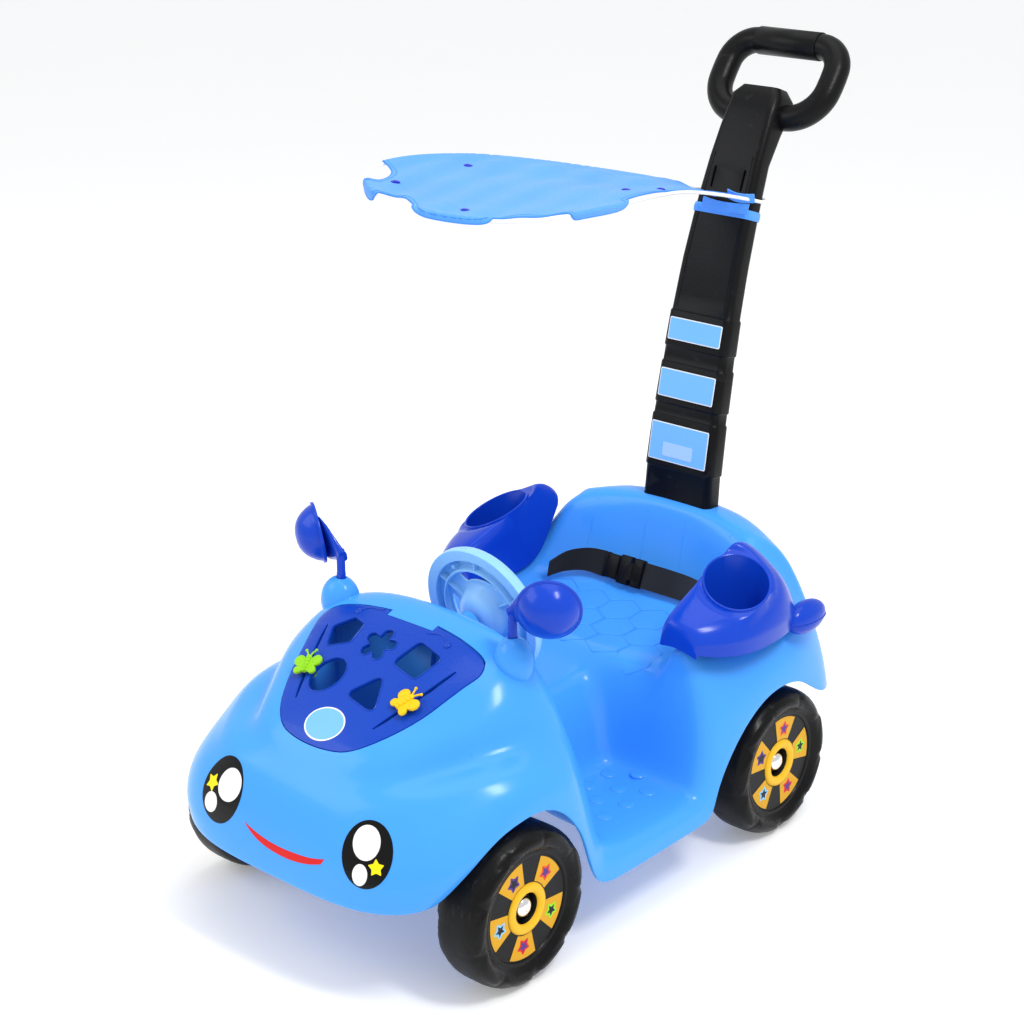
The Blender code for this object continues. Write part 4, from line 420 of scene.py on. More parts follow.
def satin_black(name, colour, roughness, grain=420.0, depth=0.00012):
    """Black polyethylene with a fine leathery mould grain and grey rubs on its high spots."""
    finish = Finish(name, colour, roughness, Specular_IOR_Level=0.12)
    place = finish.place()
    pits = finish.cells(place, grain)
    clouds = finish.noise(place, 14.0, 4.0)
    rubs = finish.between(finish.noise(place, 55.0, 6.0, 1.2), 0.60, 0.72)
    tone = finish.mix(clouds, finish.shade(0.8), finish.shade(1.3))
    finish.paint(finish.mix(rubs * 0.25, tone, (0.030, 0.030, 0.032, 1.0)))
    finish.roughen(roughness + clouds * 0.10 + rubs * 0.12)
    finish.emboss(pits + clouds * 0.5, depth)
    return finish.material


def tyre_plastic(name):
    """The wheels' black plastic, duller on the tread, with dust caught low in the grain."""
    finish = Finish(name, (0.0060, 0.0060, 0.0062), 0.30, Specular_IOR_Level=0.14)
    place = finish.place()
    pits = finish.cells(place, 520.0)
    clouds = finish.noise(place, 22.0, 4.0)
    streaks = finish.noise(finish.scaled(place, (240.0, 60.0, 60.0)), 1.0, 5.0, 0.8)
    scuffs = finish.between(streaks, 0.57, 0.72)
    side = finish.axis(place, 0).absolute()
    tread = finish.between(side, WHEEL_MIDDLE + 0.026, WHEEL_MIDDLE + 0.014)
    dull = finish.between(clouds, 0.35, 0.75)
    tone = finish.mix(dull * 0.5, finish.shade(0.85), finish.shade(1.7))
    finish.paint(finish.mix(scuffs * tread * 0.35, tone, (0.040, 0.038, 0.036, 1.0)))
    finish.roughen(0.24 + dull * 0.08 + tread * 0.14 + scuffs * 0.10)
    finish.emboss(pits + scuffs * tread * 0.6, 0.00012)
    return finish.material


def plated_metal(name, colour, roughness, lines=900.0):
    """Bright metal with fine turning lines and a little tarnish."""
    finish = Finish(name, colour, roughness, Metallic=1.0)
    place = finish.place()
    rings = finish.noise(finish.scaled(place, (lines, lines * 0.05, lines * 0.05)), 1.0, 2.0)
    tarnish = finish.between(finish.noise(place, 160.0, 4.0), 0.50, 0.75)
    finish.paint(finish.mix(tarnish * 0.35, finish.colour, finish.shade(0.55)))
    finish.roughen(roughness + rings * 0.06 + tarnish * 0.15)
    finish.emboss(rings, 0.00004)
    return finish.material


def plain_weave(name, colour, thread, roughness=0.82):
    """Woven cloth on the piece's own map in metres: threads over and under, with slubs and soft fading, and
    painted shade darkening its creases.
    """
    finish = Finish(name, colour, roughness, Sheen_Weight=0.25, Sheen_Roughness=0.5, Specular_IOR_Level=0.2)
    place = finish.map_of("cloth")
    along = finish.axis(place, 0) * (math.tau / (2 * thread))
    across = finish.axis(place, 1) * (math.tau / (2 * thread))
    warp = (along.sine() * 0.5 + 0.5) ** 0.6
    weft = (across.sine() * 0.5 + 0.5) ** 0.6
    over = (along * 0.5).sine() * (across * 0.5).sine() > 0.0
    weave = warp * over + weft * (1.0 - over)
    slubs = finish.noise(finish.scaled(place, (1 / thread, 0.04 / thread, 1.0)), 1.0, 2.0)
    fading = finish.noise(place, 11.0, 4.0)
    creases_and_shade = finish.noise(finish.scaled(place, (30.0, 9.0, 1.0), (0.0, 0.0, 0.5)), 1.0, 3.0, 0.7)
    tone = finish.mix(fading, finish.shade(0.86), finish.shade(1.10))
    tone = finish.mix(weave * 0.35 + slubs * 0.15, tone, finish.shade(1.22))
    # Painted shade: the colour is darkened where the crease noise is high, as though shade lay in the folds.
    finish.paint(finish.mix(finish.between(creases_and_shade, 0.60, 0.80) * 0.25, tone, finish.shade(0.80)))
    finish.roughen(roughness - weave * 0.06)
    finish.emboss(weave * 0.5 + slubs * 0.2 + creases_and_shade * 1.4, 0.00035)
    return finish.material


def webbing(name):
    """Black belt webbing: a herringbone of lengthwise ribs with bound edges, on its map in metres."""
    finish = Finish(name, (0.0060, 0.0060, 0.0065), 0.80, Sheen_Weight=0.15, Specular_IOR_Level=0.25)
    place = finish.map_of("cloth")
    along = finish.axis(place, 0)
    across = finish.axis(place, 1)
    zigzag = (across * 40.0).sine().absolute()
    ribs = ((along * 4200.0 + zigzag * 2.4).sine() * 0.5 + 0.5) ** 0.7
    edge = finish.between((across - 0.5).absolute(), 0.42, 0.46)
    fuzz = finish.noise(place, 600.0, 3.0)
    finish.paint(finish.mix(ribs * 0.5 + fuzz * 0.2, finish.shade(0.6), finish.shade(2.6)))
    finish.roughen(0.70 + fuzz * 0.20 - edge * 0.08)
    finish.emboss(ribs * 0.8 + edge * 0.6 + fuzz * 0.2, 0.00040)
    return finish.material


def printed_film(name, colour, roughness=0.30):
    """A printed sticker: even ink under a clear film, with fine print grain and faint bubbles."""
    finish = Finish(name, colour, roughness, Specular_IOR_Level=0.14, Coat_Weight=0.06, Coat_Roughness=0.12)
    place = finish.place()
    grain = finish.noise(place, 1400.0, 1.0)
    bubbles = finish.between(finish.noise(place, 85.0, 2.0), 0.64, 0.72)
    finish.paint(finish.mix(grain, finish.shade(0.93), finish.shade(1.06)))
    finish.roughen(roughness + grain * 0.05 - bubbles * 0.05)
    finish.emboss(bubbles + grain * 0.1, 0.00005)
    return finish.material


def coated_wire(name):
    """White dipped wire: smooth, a little wavy, with grey handling marks."""
    finish = Finish(name, (0.86, 0.86, 0.85), 0.28, Coat_Weight=0.2)
    place = finish.place()
    waves = finish.noise(place, 70.0, 2.0)
    marks = finish.between(finish.noise(place, 28.0, 4.0), 0.62, 0.72)
    finish.paint(finish.mix(marks * 0.3, finish.shade(1.0), (0.55, 0.55, 0.56, 1.0)))
    finish.roughen(0.24 + waves * 0.12 + marks * 0.1)
    finish.emboss(waves, 0.00010)
    return finish.material


def seamless_floor(name):
    """A pale studio floor with the faintest mottling."""
    finish = Finish(name, (0.93, 0.93, 0.93), 0.75, Specular_IOR_Level=0.1,
                    Emission_Color=(1.0, 1.0, 1.0, 1.0), Emission_Strength=0.22)
    mottle = finish.noise(finish.place(), 3.0, 2.0)
    finish.paint(finish.mix(mottle, finish.shade(0.99), finish.shade(1.01)))
    return finish.material


LIGHT_BLUE = moulded_plastic("light_blue_plastic", (0.060, 0.350, 0.970), 0.17)
ROYAL_BLUE = moulded_plastic("royal_blue_plastic", (0.004, 0.052, 0.520), 0.17)
LID_BLUE = moulded_plastic("lid_blue_plastic", (0.004, 0.055, 0.460), 0.24, 0.00004, 0.012)
PALE_BLUE = moulded_plastic("pale_blue_plastic", (0.330, 0.660, 0.970), 0.24)
GREEN = moulded_plastic("green_plastic", (0.290, 0.660, 0.012), 0.26)
YELLOW = moulded_plastic("yellow_plastic", (0.900, 0.560, 0.004), 0.26)
BLACK = satin_black("satin_black_plastic", (0.0050, 0.0050, 0.0054), 0.27)
TYRE = tyre_plastic("wheel_black_plastic")
CHROME = plated_metal("bright_plate", (0.86, 0.86, 0.87), 0.09)
STEEL = plated_metal("drawn_steel", (0.55, 0.55, 0.57), 0.28)
CLOTH = plain_weave("canopy_cloth_weave", (0.075, 0.300, 0.860), 0.0011)
CLOTH_EDGE = printed_film("canopy_thread", (0.060, 0.260, 0.780), 0.70)
WEBBING = webbing("belt_webbing")
WIRE = coated_wire("white_coated_wire")
SNAP = moulded_plastic("snap_plastic", (0.012, 0.018, 0.420), 0.30)
EYE_BLACK = printed_film("eye_black_film", (0.004, 0.004, 0.004), 0.18)
FILM_WHITE = printed_film("white_film", (0.90, 0.90, 0.90))
FILM_RED = printed_film("red_film", (0.720, 0.012, 0.012))
FILM_YELLOW = printed_film("yellow_film", (0.960, 0.780, 0.010))
FILM_ORANGE_RED = printed_film("orange_red_film", (0.800, 0.070, 0.008))
FILM_YELLOW_RING = printed_film("ring_yellow_film", (0.880, 0.500, 0.020))
FILM_AMBER = printed_film("amber_film", (0.720, 0.370, 0.008))
FILM_GREEN = printed_film("green_film", (0.300, 0.780, 0.010))
FILM_SKY = printed_film("sky_film", (0.250, 0.600, 0.920))
FILM_DARK = printed_film("dark_film", (0.010, 0.012, 0.020))
FILM_VIOLET = printed_film("violet_film", (0.090, 0.035, 0.240))
LABEL = printed_film("label_film", (0.190, 0.500, 0.930), 0.36)
LABEL_PALE = printed_film("label_pale_film", (0.400, 0.620, 0.940), 0.36)
FLOOR = seamless_floor("studio_floor")


# Modelling helpers

WELD = 0.00003
FINEST = 0.00001
REACH = 0.0800


def pick(*items):
    """Selects these objects and nothing else; the first is the active one."""
    bpy.ops.object.select_all(action="DESELECT")
    for item in items:
        item.select_set(True)
    bpy.context.view_layer.objects.active = items[0]


def named(name):
    item = bpy.context.object
    item.name = name
    return item


def start_edit(item):
    pick(item)
    bpy.ops.object.mode_set(mode="EDIT")
    bpy.ops.mesh.select_all(action="SELECT")


def end_edit():
    bpy.ops.object.mode_set(mode="OBJECT")


def modify(item, kind, **settings):
    """Adds a modifier and applies it."""
    step = item.modifiers.new(kind.lower(), kind)
    for name, value in settings.items():
        setattr(step, name, value)
    pick(item)
    bpy.ops.object.modifier_apply(modifier=step.name)


def round_edges(item, width, angle=40, segments=2):
    modify(item, "BEVEL", width=width, segments=segments, limit_method="ANGLE",
           angle_limit=math.radians(angle))


def smooth_form(item, levels):
    modify(item, "SUBSURF", levels=levels, render_levels=levels)


def carve(item, tool, operation="DIFFERENCE", solver="MANIFOLD"):
    modify(item, "BOOLEAN", object=tool, operation=operation, solver=solver)
    bpy.data.objects.remove(tool, do_unlink=True)


def settle(item):
    """Puts the object's place, turn and size into its mesh."""
    pick(item)
    bpy.ops.object.transform_apply(location=True, rotation=True, scale=True)


def merge(name, pieces):
    pick(*pieces)
    bpy.ops.object.join()
    return named(name)


def copy_of(item, name, move):
    """A copy with its own mesh, moved; one that is mirrored gets its faces turned outward again."""
    pick(item)
    bpy.ops.object.duplicate(linked=False)
    twin = named(name)
    twin.data.transform(move)
    if move.determinant() < 0.0:
        start_edit(twin)
        bpy.ops.mesh.flip_normals()
        end_edit()
    return twin


def complete(item, look, body, slot, *stands_for, angle=35):
    """The last steps of every piece: its place, smooth faces, finish, body, and the nodes it stands for."""
    settle(item)
    bpy.ops.object.shade_smooth_by_angle(angle=math.radians(angle))
    item.data.materials.clear()
    item.data.materials.append(look)
    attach(item, body)
    if stands_for:
        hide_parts(*stands_for)
    return item


def complete_pair(left, name, body, node):
    """Completes a royal blue piece and its mirror image; a body's name may hold the side."""
    right = copy_of(left, f"{name}_right", Matrix.Scale(-1.0, 4, (1.0, 0.0, 0.0)))
    for item, label in ((left, "left"), (right, "right")):
        complete(item, ROYAL_BLUE, body.format(side=label), "trim_royal_blue", f"{node}_{label}")


def lay_map(item, place_of):
    """Gives a piece of cloth its map: where each corner lies on it, asked by the corner's number."""
    layer = item.data.uv_layers.new(name="cloth")
    for loop in item.data.loops:
        layer.data[loop.index].uv = place_of(loop.vertex_index)


def facing(origin, axis):
    return Matrix.Translation(Vector(origin)) @ Vector(axis).to_track_quat("Z", "Y").to_matrix().to_4x4()


def seen_from(across, up, out):
    """A turn whose three axes are given."""
    return Matrix((across, up, out)).transposed().to_4x4()


def skin(name, rows, closed=False):
    """A sheet through rows of points: a grid whose corners are moved there. Closed, it is a capped tube."""
    if closed:
        rows = [[*row, row[0]] for row in rows]
    bpy.ops.mesh.primitive_grid_add(x_subdivisions=len(rows[0]) - 1, y_subdivisions=len(rows) - 1)
    item = named(name)
    points = [point for row in rows for point in row]
    for vertex, point in zip(item.data.vertices, points):
        vertex.co = point
    if closed:
        start_edit(item)
        bpy.ops.mesh.remove_doubles(threshold=WELD)
        bpy.ops.mesh.fill_holes(sides=0)
        bpy.ops.mesh.normals_make_consistent(inside=False)
        end_edit()
    return item


def lathe(name, profile, place, sides=48, endless=False):
    """A round piece: a circle that is extruded and widened along a profile of (radius, height) pairs."""
    radius, height = profile[0]
    bpy.ops.mesh.primitive_circle_add(vertices=sides, radius=max(radius, FINEST))
    item = named(name)
    start_edit(item)
    bpy.ops.transform.translate(value=(0.0, 0.0, height))
    stops = profile[1:] + (profile[:1] if endless else [])
    for next_radius, next_height in stops:
        rise = (0.0, 0.0, next_height - height)
        bpy.ops.mesh.extrude_edges_move(TRANSFORM_OT_translate={"value": rise})
        growth = max(next_radius, FINEST) / max(radius, FINEST)
        bpy.ops.transform.resize(value=(growth, growth, 1.0), center_override=(0.0, 0.0, next_height))
        radius, height = next_radius, next_height
    bpy.ops.mesh.select_all(action="SELECT")
    bpy.ops.mesh.remove_doubles(threshold=WELD)
    bpy.ops.mesh.normals_make_consistent(inside=False)
    end_edit()
    item.matrix_world = place
    settle(item)
    return item


def mesh_of(name, curve):
    item = bpy.data.objects.new(name, curve)
    bpy.context.scene.collection.objects.link(item)
    pick(item)
    bpy.ops.object.convert(target="MESH")
    return named(name)


def tube(name, points, radius, closed=False, roundness=4, steps=6):
    """Round bar on a soft line through points."""
    curve = bpy.data.curves.new(name, "CURVE")
    curve.dimensions = "3D"
    curve.bevel_depth = radius
    curve.bevel_resolution = roundness
    curve.use_fill_caps = True
    spline = curve.splines.new("BEZIER")
    spline.bezier_points.add(len(points) - 1)
    for knot, point in zip(spline.bezier_points, points):
        knot.co = point
        knot.handle_left_type = "AUTO"
        knot.handle_right_type = "AUTO"
    spline.resolution_u = steps
    spline.use_cyclic_u = closed
    return mesh_of(name, curve)


def ball(name, centre, radii, turn=Matrix(), sides=24):
    bpy.ops.mesh.primitive_uv_sphere_add(segments=sides, ring_count=sides // 2, radius=1.0)
    item = named(name)
    item.matrix_world = Matrix.Translation(Vector(centre)) @ turn @ Matrix.Diagonal((*radii, 1.0))
    settle(item)
    return item


def rod(name, radius, depth, place, sides=24):
    bpy.ops.mesh.primitive_cylinder_add(vertices=sides, radius=radius, depth=depth)
    item = named(name)
    item.matrix_world = place
    settle(item)
    return item


def block(name, size, place, rounding, segments=3):
    bpy.ops.mesh.primitive_cube_add(size=1.0)
    item = named(name)
    item.matrix_world = place @ Matrix.Diagonal((*size, 1.0))
    settle(item)
    if rounding:
        round_edges(item, rounding, 40, segments)
    return item


def flat_shape(name, outlines, depth=0.0, spacing=0.0):
    """Filled outlines in the plane; those inside the first are holes. With a spacing it is divided."""
    curve = bpy.data.curves.new(name, "CURVE")
    curve.dimensions = "2D"
    curve.fill_mode = "BOTH"
    curve.extrude = depth / 2
    for points in outlines:
        spline = curve.splines.new("POLY")
        spline.points.add(len(points) - 1)
        for knot, (u, v) in zip(spline.points, points):
            knot.co = (u, v, 0.0, 1.0)
        spline.use_cyclic_u = True
    item = mesh_of(name, curve)
    start_edit(item)
    bpy.ops.mesh.remove_doubles(threshold=WELD)
    end_edit()
    if spacing:
        divide(item, outlines[0], spacing)
    return item


def divide(item, outline, spacing):
    """Cuts straight across a flat mesh at even distances, both ways."""
    start_edit(item)
    for axis in (0, 1):
        low = min(point[axis] for point in outline)
        high = max(point[axis] for point in outline)
        count = max(1, round((high - low) / spacing))
        for step in range(1, count):
            through = [0.0, 0.0, 0.0]
            through[axis] = low + (high - low) * step / count
            across = [0.0, 0.0, 0.0]
            across[axis] = 1.0
            bpy.ops.mesh.select_all(action="SELECT")
            bpy.ops.mesh.bisect(plane_co=through, plane_no=across)
    end_edit()


def drape(item, point_on):
    """Lays a flat mesh on a surface: every corner (u, v, height) goes where the surface has it."""
    for vertex in item.data.vertices:
        vertex.co = point_on(*vertex.co)


# Outline helpers

def both_sides(half):
    """A closed outline from its right half, listed from the front centre to the back."""
    left = [(-u, v) for u, v in reversed(half) if u > 0.0]
    return list(half) + left


def grown(points, distance):
    """The outline moved outward by a distance, or inward where it is negative."""
    moved = []
    for index, point in enumerate(points):
        here = Vector(point)
        first = (here - Vector(points[index - 1])).normalized()
        second = (Vector(points[(index + 1) % len(points)]) - here).normalized()
        first_side = Vector((first.y, -first.x))
        second_side = Vector((second.y, -second.x))
        middle = (first_side + second_side).normalized()
        reach = distance / max(0.5, middle.dot(first_side))
        moved.append(tuple(here + middle * reach))
    return moved


def soft_star(centre, outer, inner, turn, lobes=5, steps=5):
    """A flower-like star: a rounded lobe at each point and a sharp hollow between them."""
    points = []
    for lobe in range(lobes):
        middle = turn + lobe * math.tau / lobes
        for step in range(steps):
            share = 2 * step / (steps - 1) - 1
            angle = middle + share * 0.50 * math.pi / lobes
            reach = outer * (1 - 0.12 * share ** 2)
            points.append((centre[0] + reach * math.cos(angle), centre[1] + reach * math.sin(angle)))
        angle = middle + math.pi / lobes
        points.append((centre[0] + inner * math.cos(angle), centre[1] + inner * math.sin(angle)))
    return points


def sharp_star(centre, outer, inner, turn, lobes=5):
    points = []
    for step in range(2 * lobes):
        reach = inner if step % 2 else outer
        angle = turn + step * math.pi / lobes
        points.append((centre[0] + reach * math.cos(angle), centre[1] + reach * math.sin(angle)))
    return points


def rounded_polygon(corners, radius, steps=5):
    """A polygon whose corners are each a short curve."""
    points = []
    for index, corner in enumerate(corners):
        here = Vector(corner)
        to_before = (Vector(corners[index - 1]) - here).normalized()
        to_after = (Vector(corners[(index + 1) % len(corners)]) - here).normalized()
        reach = radius / math.tan(to_before.angle(to_after) / 2)
        start = here + to_before * reach
        end = here + to_after * reach
        for step in range(steps + 1):
            t = step / steps
            points.append(tuple(start * (1 - t) ** 2 + here * 2 * t * (1 - t) + end * t ** 2))
    return points


def ellipse_points(centre, radii, turn=0.0, count=40):
    points = []
    for step in range(count):
        angle = step * math.tau / count
        u = radii[0] * math.cos(angle)
        v = radii[1] * math.sin(angle)
        points.append((centre[0] + u * math.cos(turn) - v * math.sin(turn),
                       centre[1] + u * math.sin(turn) + v * math.cos(turn)))
    return points


def soft_line(points, steps=6, closed=False):
    """More points on a smooth line through the given ones."""
    given = [Vector(point) for point in points]
    count = len(given)
    spans = count if closed else count - 1
    line = []
    for index in range(spans):
        if closed:
            before, here, after, beyond = (given[(index + shift) % count] for shift in (-1, 0, 1, 2))
        else:
            here, after = given[index], given[index + 1]
            before = given[max(0, index - 1)]
            beyond = given[min(count - 1, index + 2)]
        for step in range(steps):
            t = step / steps
            line.append(0.5 * (2 * here + (after - before) * t
                               + (2 * before - 5 * here + 4 * after - beyond) * t ** 2
                               + (3 * here - before - 3 * after + beyond) * t ** 3))
    if not closed:
        line.append(given[-1])
    return line


# The body: cross sections of the left half, each from the centre line out to the lower edge,
# as (x, y from the front axle, z). Together they make the cage of one moulded skin.

